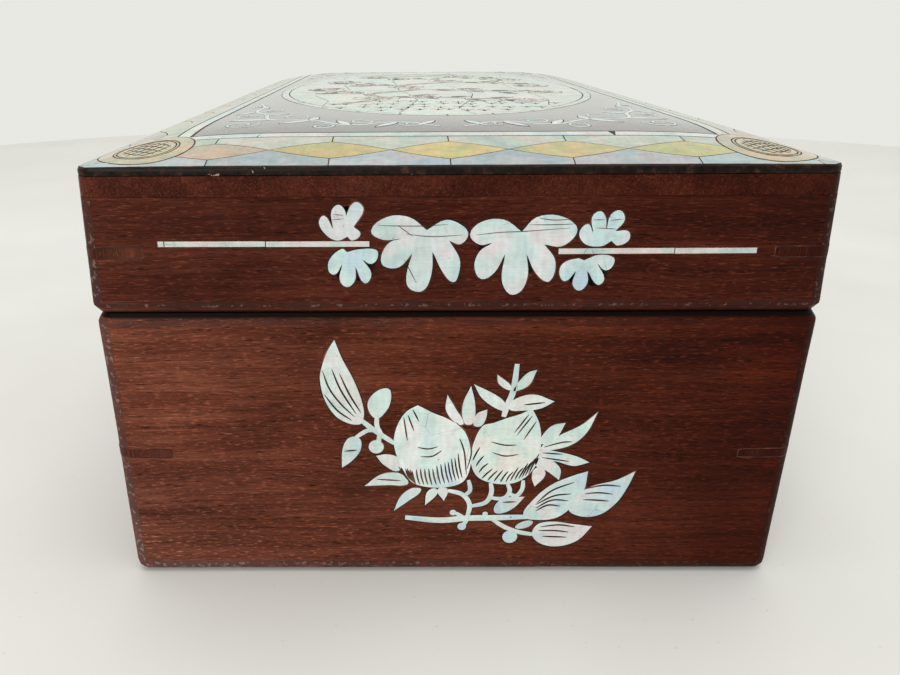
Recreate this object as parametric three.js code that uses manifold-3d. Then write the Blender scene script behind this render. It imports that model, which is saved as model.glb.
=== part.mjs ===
// A hinged hardwood box with a cushion-shaped lid, inlaid with mother-of-pearl.
//
// Millimetres, +Z up. The origin is the middle of the underside. The box is longest along Y, its near
// end faces -Y, and the lid is hinged along the +X side. Every wooden part has pockets for what is let
// into it: the inlay, the keys that lock the mitred corners, and the hinges.

import * as THREE from "three";
import { mergeVertices } from "three/addons/utils/BufferGeometryUtils.js";
import Module from "manifold-3d";

const wasm = await Module();
wasm.setup();

// Driving dimensions.
const BODY_WIDTH = 113.5;
const BODY_LENGTH = 210;
const BODY_HEIGHT = 49.6;
const WALL = 8.5;
const BOTTOM_THICKNESS = 5;
const REBATE = 4; // how far the bottom board reaches into the walls
const CORNER_RADIUS = 2.5;
const FOOT_RADIUS = 2.2; // rounding of the bottom edges
const CHAMFER_HEIGHT = 1.3; // of the groove along the joint between body and lid

const LID_WIDTH = 113.5; // at its lower edge
const LID_LENGTH = 210.8;
const LID_SHIFT = -0.2; // the lid sits a little towards the front, away from the hinges
const LID_EDGE_HEIGHT = 22.3;
const LID_RAIL_HEIGHT = 18;
const LID_LEAN = 0.7; // how far each side leans in over the edge height
const CROWN = 3.9; // rise of the lid's middle above its edge
const CROWN_REACH = 40; // distance from the edge at which the crown is flat
const CROWN_POWER = 3.8;

const GAP = 0.1; // glue line, and clearance between lid and body
const INLAY_THICKNESS = 0.7;
const POCKET_DEPTH = 0.85;
const POCKET_CLEARANCE = 0.15;
const SPRAY_PLACE = [0.1, 0.9]; // of each spray's own origin, right and up from the middle of the foot
const GARLAND_PLACE = [-0.5, -0.1];

const BORDER_WIDTH = 14.3;
const BORDER_BED = 1.2; // thickness of the black bed that holds the border
const BAND_INSET = 0.4;
const BAND_WIDTH = 11;
const STRINGING_INSET = 11.7;
const STRINGING_WIDTH = 2.2;
const MEDALLION_RADIUS = 7.1;
const MEDALLION_INSET = 8.5;
const OVAL_HALF_WIDTH = 39.2;
const OVAL_HALF_LENGTH = 73;

const KEY_LEG = 10; // length of a key along each face
const KEY_THICKNESS = 1.5;
const BODY_KEY_HEIGHT = 24.7;
const LID_KEY_HEIGHT = 9.6;

const HINGE_SPACING = 124;
const BARREL_LENGTH = 20;
const BARREL_RADIUS = 1.6;
const BARREL_BORE = 0.7;
const PIN_RADIUS = 0.6;
const LEAF_WIDTH = 8;
const LEAF_THICKNESS = 0.8;
const SCREW_SPACING = 11;
const SCREW_HEAD_RADIUS = 1.4;
const SCREW_SHANK_RADIUS = 0.6;
const SCREW_LENGTH = 5;

// What follows from them.
const BODY_HALF = { x: BODY_WIDTH / 2, y: BODY_LENGTH / 2 };
const INSIDE_HALF = { x: BODY_HALF.x - WALL, y: BODY_HALF.y - WALL };
const JOINT_HALF = { x: BODY_HALF.x - 1, y: BODY_HALF.y - 1 }; // where body and lid meet
const LID_HALF = { x: LID_WIDTH / 2, y: LID_LENGTH / 2 };
const EDGE_HALF = { x: LID_HALF.x - LID_LEAN, y: LID_HALF.y - LID_LEAN };
const FIELD_HALF = { x: EDGE_HALF.x - BORDER_WIDTH, y: EDGE_HALF.y - BORDER_WIDTH };
const LEAN_ANGLE = Math.atan2(LID_LEAN, LID_EDGE_HEIGHT);

// Materials.
function material(color, roughness, metalness = 0) {
  return new THREE.MeshStandardMaterial({ color, roughness, metalness });
}

const bodyWood = material(0x5a2014, 0.35);
const lidWood = material(0x421008, 0.3);
const keyWood = material(0x4a1a10, 0.45);
const lacquer = material(0x0e0b0a, 0.2);
const paleShell = material(0xc9d3cf, 0.18);
const goldenShell = material(0xb59a5e, 0.22);
const brass = material(0xb08d4a, 0.35, 1);

// Solids.
function toSolid(geometry) {
  const bare = geometry.index ? geometry.toNonIndexed() : geometry.clone();
  bare.deleteAttribute("normal");
  bare.deleteAttribute("uv");
  const merged = mergeVertices(bare, 1e-4);
  return new wasm.Manifold(
    new wasm.Mesh({
      numProp: 3,
      vertProperties: merged.attributes.position.array,
      triVerts: new Uint32Array(merged.index.array),
    }),
  );
}

function toGeometry(solid) {
  const { vertProperties, triVerts } = solid.getMesh();
  const shared = new THREE.BufferGeometry();
  shared.setAttribute("position", new THREE.BufferAttribute(vertProperties, 3));
  shared.setIndex(new THREE.BufferAttribute(triVerts, 1));
  const geometry = shared.toNonIndexed();
  geometry.computeVertexNormals();
  return geometry;
}

function addAll(solids) {
  return solids.reduce((joined, solid) => joined.add(solid));
}

function subtractAll(solid, cutters) {
  return cutters.reduce((rest, cutter) => rest.subtract(cutter), solid);
}

function named(name, shape, surface) {
  const mesh = new THREE.Mesh(shape instanceof THREE.BufferGeometry ? shape : toGeometry(shape), surface);
  mesh.name = name;
  return mesh;
}

// A box between two corners.
function block(low, high) {
  const size = high.map((value, axis) => value - low[axis]);
  const geometry = new THREE.BoxGeometry(...size);
  geometry.translate(...low.map((value, axis) => value + size[axis] / 2));
  return toSolid(geometry);
}

// A closed outline of [x, y] points, extruded from low to high along Z.
function prism(points, low, high) {
  const shape = new THREE.Shape(points.map(([x, y]) => new THREE.Vector2(x, y)));
  const geometry = new THREE.ExtrudeGeometry(shape, { depth: high - low, bevelEnabled: false });
  geometry.translate(0, 0, low);
  return toSolid(geometry);
}

function rectangle(halfX, halfY, x = 0, y = 0) {
  return [
    [x - halfX, y - halfY],
    [x + halfX, y - halfY],
    [x + halfX, y + halfY],
    [x - halfX, y + halfY],
  ];
}

function ellipse(x, y, radiusX, radiusY, steps) {
  return Array.from({ length: steps }, (_, i) => {
    const angle = (2 * Math.PI * i) / steps;
    return [x + radiusX * Math.cos(angle), y + radiusY * Math.sin(angle)];
  });
}

// A rectangle with round corners at one height, as [x, y, z] points.
function roundedSection({ x: halfX, y: halfY }, inset, radius, z) {
  const steps = 4;
  const points = [];
  for (let corner = 0; corner < 4; corner += 1) {
    const centreX = (halfX - inset - radius) * [1, -1, -1, 1][corner];
    const centreY = (halfY - inset - radius) * [1, 1, -1, -1][corner];
    for (let step = 0; step <= steps; step += 1) {
      const angle = (Math.PI / 2) * (corner + step / steps);
      points.push([centreX + radius * Math.cos(angle), centreY + radius * Math.sin(angle), z]);
    }
  }
  return points;
}

// The solid through a stack of convex sections with equal numbers of points, lowest first.
function loft(sections) {
  const count = sections[0].length;
  const top = (sections.length - 1) * count;
  const index = [];
  for (let level = 0; level < top; level += count) {
    for (let i = 0; i < count; i += 1) {
      const next = (i + 1) % count;
      index.push(level + i, level + next, level + count + next);
      index.push(level + i, level + count + next, level + count + i);
    }
  }
  for (let i = 1; i < count - 1; i += 1) {
    index.push(0, i + 1, i);
    index.push(top, top + i, top + i + 1);
  }
  const geometry = new THREE.BufferGeometry();
  geometry.setAttribute("position", new THREE.Float32BufferAttribute(sections.flat(2), 3));
  geometry.setIndex(index);
  return toSolid(geometry);
}

// The solid between a floor and the height field z(x, y) over a grid of stations.
function heightField(xs, ys, height, floor) {
  const across = xs.length;
  const layer = across * ys.length;
  const points = [];
  ys.forEach((y) => xs.forEach((x) => points.push(x, y, height(x, y))));
  ys.forEach((y) => xs.forEach((x) => points.push(x, y, floor)));
  const index = [];
  const quad = (a, b, c, d) => index.push(a, b, c, a, c, d);
  for (let j = 0; j < ys.length - 1; j += 1) {
    for (let i = 0; i < across - 1; i += 1) {
      const a = j * across + i;
      quad(a, a + 1, a + across + 1, a + across);
      quad(layer + a, layer + a + across, layer + a + across + 1, layer + a + 1);
    }
  }
  for (let i = 0; i < across - 1; i += 1) {
    const far = layer - across + i;
    quad(layer + i, layer + i + 1, i + 1, i);
    quad(far, far + 1, layer + far + 1, layer + far);
  }
  for (let j = 0; j < ys.length - 1; j += 1) {
    const a = j * across;
    const b = a + across - 1;
    quad(a, a + across, layer + a + across, layer + a);
    quad(b + across, b, layer + b, layer + b + across);
  }
  const geometry = new THREE.BufferGeometry();
  geometry.setAttribute("position", new THREE.Float32BufferAttribute(points, 3));
  geometry.setIndex(index);
  return toSolid(geometry);
}

// Inlay drawings. Each is a list of motifs in the plane of its face, u to the right and v up as seen
// from outside. `grow` widens a motif, for the pocket that it sits in.

// A pointed leaf from base to tip; bend moves its middle to the left of the way to the tip.
function leaf(baseU, baseV, tipU, tipV, width, bend = 0) {
  const steps = width > 3.1 ? 3 : 2;
  return (grow) => {
    const alongU = tipU - baseU;
    const alongV = tipV - baseV;
    const length = Math.hypot(alongU, alongV);
    const side = [-alongV / length, alongU / length];
    const at = (step, sign) => {
      const along = step / steps;
      const middle = bend * 4 * along * (1 - along);
      const half = (width / 2) * Math.sin(Math.PI * along ** 0.85) ** 0.8 + grow;
      const reach = along + ((2 * along - 1) * 2 * grow) / length;
      const across = middle + sign * (step % steps === 0 ? 0 : half);
      return [baseU + alongU * reach + side[0] * across, baseV + alongV * reach + side[1] * across];
    };
    const outline = [];
    for (let step = 0; step < steps; step += 1) outline.push(at(step, -1));
    for (let step = steps; step > 0; step -= 1) outline.push(at(step, 1));
    return [outline];
  };
}

function round(u, v, radiusU, radiusV = radiusU) {
  const steps = radiusU > 2 ? 12 : 6;
  return (grow) => [ellipse(u, v, radiusU + grow, radiusV + grow, steps)];
}

// A stem through a few points, as one bar for each stretch.
function stem(width, ...points) {
  return (grow) =>
    points.slice(1).map(([endU, endV], i) => {
      const [startU, startV] = points[i];
      const length = Math.hypot(endU - startU, endV - startV);
      const half = width / 2 + grow;
      const reach = [((endU - startU) / length) * half, ((endV - startV) / length) * half];
      return [
        [startU - reach[0] + reach[1], startV - reach[1] - reach[0]],
        [endU + reach[0] + reach[1], endV + reach[1] - reach[0]],
        [endU + reach[0] - reach[1], endV + reach[1] + reach[0]],
        [startU - reach[0] - reach[1], startV - reach[1] + reach[0]],
      ];
    });
}

// Two peaches among leaves, on a short branch.
const fruitSpray = [
  leaf(-15.6, 30.6, -19.4, 44.4, 5.6, 1.8),
  leaf(-12.8, 30.6, -12.2, 36.2, 3.6),
  leaf(-15.9, 27.1, -19.7, 21.2, 3),
  round(-13.1, 25, 1.2),
  leaf(-8.6, 20.8, -13.6, 23.4, 2.4),
  leaf(-7.2, 18.8, -15.1, 17.4, 2.8),
  round(-4.6, 25.2, 5.5, 7.6),
  round(8.8, 24.6, 6, 7.2),
  leaf(-4.9, 18.4, -10.2, 12.3, 2.4),
  leaf(-0.8, 27.6, -1.4, 34.8, 2.6),
  leaf(4.6, 26.6, 2, 36.4, 2.8),
  leaf(8.8, 32.8, 3.2, 36.4, 2),
  leaf(8.8, 32.4, 15.9, 33.5, 2.2),
  leaf(9.4, 35.6, 12.9, 39, 2),
  leaf(9.4, 35.8, 6.9, 38, 1.6),
  leaf(13.4, 25, 18.3, 29.2, 2.2),
  leaf(13.6, 24.6, 23.6, 31.4, 2.8, 0.8),
  leaf(13.6, 22.6, 22.9, 22, 2.8, -0.6),
  leaf(13, 20.6, 17.9, 18.6, 2.2),
  leaf(5.4, 10.8, 12.4, 15.2, 3.2),
  leaf(12.2, 10.8, 22.8, 19.6, 5.6, -1),
  leaf(18.2, 12.6, 30.6, 19.8, 4.8, 1.2),
  leaf(13.6, 7.8, 24.3, 8.9, 4.4, -0.6),
  round(10.1, 6.6, 1.2),
  stem(0.9, [-16, 31.6], [-12.7, 27.5], [-9, 24.6]),
  stem(0.9, [-12.8, 31.2], [-12.7, 27.5]),
  stem(0.8, [-16.4, 26.6], [-12.7, 27.5]),
  stem(0.8, [-13.1, 25.2], [-11.8, 27]),
  stem(1.1, [-8.3, 10.3], [14, 11], [19, 13.6]),
  stem(0.9, [-2.5, 18.8], [1.8, 15.2], [1.4, 10.4]),
  stem(0.9, [7.5, 18.2], [5.2, 14.6], [2, 10.4]),
  stem(0.9, [8.2, 30.6], [9.8, 40]),
  stem(0.9, [10.1, 6.8], [11.6, 10.8]),
  stem(0.8, [12.6, 10.8], [15, 8.2]),
];

// A branch that runs out along a long side from [startU, startV], with leaves above and below in turn.
function wing(direction, startU, startV) {
  const stretch = 8.5 * direction;
  const rise = -1.2;
  const count = 5;
  const endU = startU + stretch * count;
  const endV = startV + rise * count;
  const motifs = [
    stem(1.1, [startU, startV], [endU, endV]),
    leaf(endU, endV, endU + 9 * direction, endV - 3, 3.1),
  ];
  for (let i = 0; i < count; i += 1) {
    const u = startU + stretch * (i + 0.2);
    const v = startV + rise * (i + 0.2);
    const reach = (i % 2 ? -1 : 1) * (10 - i * 0.6);
    motifs.push(leaf(u, v, u + 0.9 * stretch, v + reach, 3.1));
  }
  return motifs;
}

// The long sides carry two peaches between two such branches.
const sideSpray = [
  round(-4.6, 25.2, 5.5, 7.6),
  round(8.8, 24.6, 6, 7.2),
  leaf(-3, 29, -9, 40, 3.1),
  leaf(9, 30, 18, 39, 3.1),
  leaf(0.4, 24, 2.4, 9, 3.1),
  stem(1.1, [-9, 22], [3, 24], [13.6, 22]),
  ...wing(-1, -8, 22),
  ...wing(1, 12.6, 22),
];

// A broad leaf with five lobes that spread from its stalk, as one outline.
function lobedLeaf(u, v, direction, size, spread) {
  return (grow) => {
    const at = (degrees, radius) => {
      const angle = THREE.MathUtils.degToRad(direction + degrees);
      return [u + (radius + grow) * Math.cos(angle), v + (radius + grow) * Math.sin(angle)];
    };
    const outline = [at(180, 0.15 * size)];
    for (let lobe = -2; lobe <= 2; lobe += 1) {
      const length = size * (1 - 0.12 * Math.abs(lobe));
      outline.push(at((lobe - 0.34) * spread, length * 0.8));
      outline.push(at(lobe * spread, length));
      outline.push(at((lobe + 0.34) * spread, length * 0.8));
      if (lobe < 2) outline.push(at((lobe + 0.5) * spread, size * 0.42));
    }
    return [outline];
  };
}

// Two broad leaves between four small ones, on one stalk.
const garland = [
  lobedLeaf(-4.9, 12.4, 262, 8, 42),
  lobedLeaf(9.9, 12, 278, 8, 42),
  lobedLeaf(-14, 11.8, 140, 5.6, 34),
  lobedLeaf(-13.4, 10, 215, 5.6, 34),
  lobedLeaf(19, 11.2, 40, 5.6, 34),
  lobedLeaf(18.6, 9.4, 325, 5.6, 34),
  stem(1, [-14.6, 10.9], [2.4, 11.6], [19.6, 10.4]),
];

const stringingLeft = [stem(0.9, [-44, 10.8], [-20.6, 10.8])];
const stringingRight = [stem(0.9, [26.6, 10.1], [45, 10.1])];

// A scroll for one corner of the field, drawn for the quarter with positive x and y.
function scroll(signX, signY) {
  const at = (x, y) => [x * signX, y * signY];
  const frond = (from, to, width) => leaf(...at(...from), ...at(...to), width);
  return [
    stem(0.9, at(12, 84), at(30, 76), at(37, 54)),
    frond([20, 80.5], [17, 74], 2.6),
    frond([20, 80.5], [27, 86], 2.6),
    frond([30, 76], [25, 70.5], 2.8),
    frond([30, 76], [37.5, 80], 2.8),
    frond([33.5, 65], [29.5, 60], 2.6),
    frond([12, 84], [5, 80.5], 2.8),
    frond([37, 54], [37.8, 45], 2.2),
  ];
}

// Every motif of a drawing as one solid from low to high, in the drawing's own plane.
function drawing(motifs, grow, low, high) {
  return addAll(motifs.flatMap((motif) => motif(grow)).map((points) => prism(points, low, high)));
}

// The plane of one face: u right, v up the face and n out of it. A leaning face tips back with height.
const FACES = {
  near: { u: [1, 0, 0], out: [0, -1, 0], half: "y" },
  far: { u: [-1, 0, 0], out: [0, 1, 0], half: "y" },
  left: { u: [0, -1, 0], out: [-1, 0, 0], half: "x" },
  right: { u: [0, 1, 0], out: [1, 0, 0], half: "x" },
};

function facePlane(face, half, lean, [shift, rise]) {
  const { u, out, half: axis } = FACES[face];
  const right = new THREE.Vector3(...u);
  const outward = new THREE.Vector3(...out);
  const origin = outward.clone().multiplyScalar(half[axis]).addScaledVector(right, shift);
  const up = new THREE.Vector3(0, 0, 1);
  up.applyAxisAngle(right, -lean);
  outward.applyAxisAngle(right, -lean);
  origin.addScaledVector(up, rise);
  return new THREE.Matrix4().makeBasis(right, up, outward).setPosition(origin);
}

function inPlane(solid, plane) {
  return toSolid(toGeometry(solid).applyMatrix4(plane));
}

function plateIn(motifs, plane) {
  return inPlane(drawing(motifs, 0, -INLAY_THICKNESS, 0), plane);
}

function pocketFor(motifs, plane) {
  return inPlane(drawing(motifs, POCKET_CLEARANCE, -POCKET_DEPTH, 1), plane);
}

// Mitred frames. A wedge keeps the part of a frame that belongs to one face.
function mitreWedge(face, half, height) {
  const { u, out, half: axis } = FACES[face];
  const other = axis === "x" ? "y" : "x";
  const reach = 5;
  const depth = WALL + reach + 10;
  const point = (along, inward) => {
    const distance = half[axis] + reach - inward;
    return [u[0] * along + out[0] * distance, u[1] * along + out[1] * distance];
  };
  const wide = half[other] + reach - GAP / Math.SQRT2;
  const narrow = wide - depth;
  return prism([point(-wide, 0), point(wide, 0), point(narrow, depth), point(-narrow, depth)], -1, height);
}

const CORNERS = [
  { name: "near_left", x: -1, y: -1 },
  { name: "near_right", x: 1, y: -1 },
  { name: "far_left", x: -1, y: 1 },
  { name: "far_right", x: 1, y: 1 },
];

// The triangular plate that lies across a mitred corner.
function cornerPlate({ x, y }, half, leg, z, thickness) {
  const cornerX = x * (half.x + 2);
  const cornerY = y * (half.y + 2);
  const reach = leg + 4;
  const points = [
    [cornerX, cornerY],
    [cornerX - x * reach, cornerY],
    [cornerX, cornerY - y * reach],
  ];
  return prism(points, z - thickness / 2, z + thickness / 2);
}

// A frame of four mitred sides, each with its own cutters, and its four keys.
function mitredFrame({ outer, hollow, half, height, keyHeight, names, keyPrefix, surface, cutters }) {
  const slots = CORNERS.map((c) => cornerPlate(c, half, KEY_LEG + GAP, keyHeight, KEY_THICKNESS + 2 * GAP));
  const ring = subtractAll(outer.subtract(hollow), slots);
  const sides = Object.keys(FACES).map((face) => {
    const side = ring.intersect(mitreWedge(face, half, height));
    return named(names[face], subtractAll(side, cutters[face]), surface);
  });
  const keys = CORNERS.map((corner) => {
    const plate = cornerPlate(corner, half, KEY_LEG, keyHeight, KEY_THICKNESS);
    return named(keyPrefix + corner.name, plate.intersect(outer), keyWood);
  });
  return [...sides, ...keys];
}

// Hinges. Each is modelled with its axis on Y through its own origin, the body leaf below.
const HINGE_AXIS = { x: JOINT_HALF.x, z: BODY_HEIGHT + GAP / 2 };
const HINGE_PLACES = [
  { name: "near", y: -HINGE_SPACING / 2 },
  { name: "far", y: HINGE_SPACING / 2 },
];
const LEAF_DROP = GAP; // from the axis down to the leaf's inner face
const SCREW_X = -LEAF_WIDTH * 0.6;

function alongY(radius, from, to) {
  const geometry = new THREE.CylinderGeometry(radius, radius, to - from, 12);
  geometry.translate(0, (from + to) / 2, 0);
  return toSolid(geometry);
}

// A round countersunk screw, or the hole for it, with its head's face at z = 0 and pointing down.
function screwProfile(grow) {
  const head = SCREW_HEAD_RADIUS + grow;
  const shank = SCREW_SHANK_RADIUS + grow;
  const points = [
    [0, -SCREW_LENGTH - grow],
    [shank, -SCREW_LENGTH - grow + SCREW_SHANK_RADIUS],
    [shank, shank - head],
    [head, 0],
    [0, 0],
  ];
  const geometry = new THREE.LatheGeometry(points.map(([r, z]) => new THREE.Vector2(r, z)), 8);
  geometry.rotateX(Math.PI / 2);
  return geometry;
}

function screwHoles() {
  return [-1, 1].map((side) => {
    const geometry = screwProfile(POCKET_CLEARANCE);
    geometry.translate(SCREW_X, (side * SCREW_SPACING) / 2, -LEAF_DROP + 0.02);
    return toSolid(geometry);
  });
}

// The body leaf, or the lid leaf upside down: a plate and the knuckles that it carries.
function hingeLeaf(knuckles) {
  const half = BARREL_LENGTH / 2;
  const plate = block([-LEAF_WIDTH, -half, -LEAF_DROP - LEAF_THICKNESS], [-0.6, half, -LEAF_DROP]);
  const third = BARREL_LENGTH / 3;
  const parts = [0, 1, 2].map((i) => {
    const from = -half + i * third + (i ? GAP : 0);
    const to = -half + (i + 1) * third - (i < 2 ? GAP : 0);
    return { own: knuckles.includes(i), from, to };
  });
  const others = parts.filter(({ own }) => !own);
  const cleared = subtractAll(
    plate,
    others.map(({ from, to }) => alongY(BARREL_RADIUS + GAP, from - 2 * GAP, to + 2 * GAP)),
  );
  const own = parts.filter((part) => part.own).map(({ from, to }) => alongY(BARREL_RADIUS, from, to));
  const whole = addAll([cleared, ...own]).subtract(alongY(BARREL_BORE, -half - 1, half + 1));
  return subtractAll(whole, screwHoles());
}

function hingePin() {
  const half = BARREL_LENGTH / 2;
  const points = [
    [0, -half - 0.4],
    [PIN_RADIUS + 0.5, -half - 0.4],
    [PIN_RADIUS + 0.5, -half - 0.05],
    [PIN_RADIUS, -half - 0.05],
    [PIN_RADIUS, half + 0.05],
    [PIN_RADIUS + 0.5, half + 0.05],
    [PIN_RADIUS + 0.5, half + 0.4],
    [0, half + 0.4],
  ];
  return new THREE.LatheGeometry(points.map(([r, y]) => new THREE.Vector2(r, y)), 12);
}

// What a hinge needs cut away below its axis: room for the barrel, a mortise for the leaf, screw holes.
function hingeMortise() {
  const half = BARREL_LENGTH / 2;
  const room = alongY(BARREL_RADIUS + 0.3, -half - 0.8, half + 0.8);
  const low = [-LEAF_WIDTH - GAP, -half - GAP, -LEAF_DROP - LEAF_THICKNESS - GAP];
  return addAll([room, block(low, [1, half + GAP, 1]), ...screwHoles()]);
}

// The mortises of both hinges as cutters, in a frame whose origin is at [originX, originZ].
function hingeCutters(originX, originZ, upsideDown) {
  const x = HINGE_AXIS.x - originX;
  const z = HINGE_AXIS.z - originZ;
  return HINGE_PLACES.map(({ y }) => {
    const mortise = toGeometry(hingeMortise());
    if (upsideDown) mortise.rotateX(Math.PI);
    mortise.translate(x, y, z);
    return toSolid(mortise);
  });
}

function hinge({ name, y }) {
  const group = new THREE.Group();
  group.position.set(HINGE_AXIS.x, y, HINGE_AXIS.z);
  const bodyLeaf = named("hinge_" + name + "_body_leaf", hingeLeaf([0, 2]), brass);
  const lidLeaf = named("hinge_" + name + "_lid_leaf", hingeLeaf([1]), brass);
  lidLeaf.rotation.x = Math.PI;
  group.add(bodyLeaf, lidLeaf, named("hinge_" + name + "_pin", hingePin(), brass));
  for (const side of [-1, 1]) {
    const end = side < 0 ? "a" : "b";
    const bodyScrew = named("hinge_" + name + "_body_screw_" + end, screwProfile(0), brass);
    bodyScrew.position.set(SCREW_X, (side * SCREW_SPACING) / 2, -LEAF_DROP - 0.05);
    const lidScrew = named("hinge_" + name + "_lid_screw_" + end, screwProfile(0), brass);
    lidScrew.rotation.x = Math.PI;
    lidScrew.position.set(SCREW_X, (side * SCREW_SPACING) / 2, LEAF_DROP + 0.05);
    group.add(bodyScrew, lidScrew);
  }
  return group;
}

// Body.
function bodyGroup() {
  const group = new THREE.Group();
  const section = (inset, radius, z) => roundedSection(BODY_HALF, inset, radius, z);
  const outer = loft([
    section(FOOT_RADIUS, 1, 0),
    section(FOOT_RADIUS * 0.3, 2, FOOT_RADIUS * 0.3),
    section(0, CORNER_RADIUS, FOOT_RADIUS),
    section(0, CORNER_RADIUS, BODY_HEIGHT - CHAMFER_HEIGHT),
    section(1, CORNER_RADIUS - 0.6, BODY_HEIGHT),
  ]);
  const boardHalf = { x: INSIDE_HALF.x + REBATE, y: INSIDE_HALF.y + REBATE };
  const rebateHalf = { x: boardHalf.x + GAP, y: boardHalf.y + GAP };
  const hollow = addAll([
    prism(rectangle(INSIDE_HALF.x, INSIDE_HALF.y), -1, BODY_HEIGHT + 1),
    prism(rectangle(rebateHalf.x, rebateHalf.y), -1, BOTTOM_THICKNESS + GAP),
  ]);
  const sprays = { near: fruitSpray, far: fruitSpray, left: sideSpray, right: sideSpray };
  const planes = Object.fromEntries(
    Object.keys(FACES).map((face) => [face, facePlane(face, BODY_HALF, 0, SPRAY_PLACE)]),
  );
  const pockets = Object.fromEntries(
    Object.keys(FACES).map((face) => [face, [pocketFor(sprays[face], planes[face])]]),
  );
  const frame = mitredFrame({
    outer,
    hollow,
    half: BODY_HALF,
    height: BODY_HEIGHT + 1,
    keyHeight: BODY_KEY_HEIGHT,
    names: {
      near: "body_near_end",
      far: "body_far_end",
      left: "body_left_side",
      right: "body_right_side",
    },
    keyPrefix: "body_key_",
    surface: bodyWood,
    cutters: { ...pockets, right: [...pockets.right, ...hingeCutters(0, 0, false)] },
  });
  group.add(...frame);
  const board = block([-boardHalf.x, -boardHalf.y, 0], [boardHalf.x, boardHalf.y, BOTTOM_THICKNESS]);
  group.add(named("body_bottom_board", board, bodyWood));
  for (const face of Object.keys(FACES)) {
    group.add(named("body_" + face + "_spray", plateIn(sprays[face], planes[face]), paleShell));
  }
  return group;
}

// Lid, in its own frame: z = 0 is its lower face.
function crown(distance) {
  const part = Math.min(Math.max(distance, 0), CROWN_REACH) / CROWN_REACH;
  return 1 - (1 - part) ** CROWN_POWER;
}

function lidHeight(x, y) {
  return LID_EDGE_HEIGHT + CROWN * crown(EDGE_HALF.x - Math.abs(x)) * crown(EDGE_HALF.y - Math.abs(y));
}

function stations(half) {
  const insets = [-3, 0, 4, 10, 20, CROWN_REACH];
  const low = insets.map((inset) => inset - half);
  return [...low, 0, ...low.map((value) => -value).reverse()];
}

// Everything below the lid's top surface shifted down by a depth.
function underTop(depth) {
  const floor = LID_RAIL_HEIGHT + GAP / 2;
  return heightField(stations(EDGE_HALF.x), stations(EDGE_HALF.y), (x, y) => lidHeight(x, y) - depth, floor);
}

function lidGroup() {
  const group = new THREE.Group();
  group.position.set(LID_SHIFT, 0, BODY_HEIGHT + GAP);
  const section = (inset, radius, z) => {
    const lean = (LID_LEAN * z) / LID_EDGE_HEIGHT;
    return roundedSection(LID_HALF, inset + lean, radius, z);
  };
  const grooveInset = LID_HALF.x - JOINT_HALF.x;
  const rails = loft([
    section(grooveInset, CORNER_RADIUS - 0.6, 0),
    section(0, CORNER_RADIUS, CHAMFER_HEIGHT),
    section(0, CORNER_RADIUS, LID_RAIL_HEIGHT),
  ]);
  const above = loft([
    section(0, CORNER_RADIUS, LID_RAIL_HEIGHT),
    section(0, CORNER_RADIUS, LID_EDGE_HEIGHT + CROWN + 1),
  ]);

  const garlands = { near: garland, far: garland, left: garland, right: garland };
  const lines = { near: [stringingLeft, stringingRight], far: [stringingLeft, stringingRight] };
  const planes = Object.fromEntries(
    Object.keys(FACES).map((face) => [face, facePlane(face, LID_HALF, LEAN_ANGLE, GARLAND_PLACE)]),
  );
  const pockets = Object.fromEntries(
    Object.keys(FACES).map((face) => [
      face,
      [garlands[face], ...(lines[face] ?? [])].map((motifs) => pocketFor(motifs, planes[face])),
    ]),
  );
  const frame = mitredFrame({
    outer: rails,
    hollow: prism(rectangle(INSIDE_HALF.x, INSIDE_HALF.y), -1, LID_RAIL_HEIGHT + 1),
    half: LID_HALF,
    height: LID_RAIL_HEIGHT + 1,
    keyHeight: LID_KEY_HEIGHT,
    names: {
      near: "lid_near_rail",
      far: "lid_far_rail",
      left: "lid_left_rail",
      right: "lid_right_rail",
    },
    keyPrefix: "lid_key_",
    surface: lidWood,
    cutters: { ...pockets, right: [...pockets.right, ...hingeCutters(LID_SHIFT, BODY_HEIGHT + GAP, true)] },
  });
  group.add(...frame);
  for (const face of Object.keys(FACES)) {
    group.add(named("lid_" + face + "_garland", plateIn(garlands[face], planes[face]), paleShell));
  }
  for (const face of Object.keys(lines)) {
    group.add(named("lid_" + face + "_line_left", plateIn(lines[face][0], planes[face]), paleShell));
    group.add(named("lid_" + face + "_line_right", plateIn(lines[face][1], planes[face]), paleShell));
  }

  group.add(...lidTop(above));
  return group;
}

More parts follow.
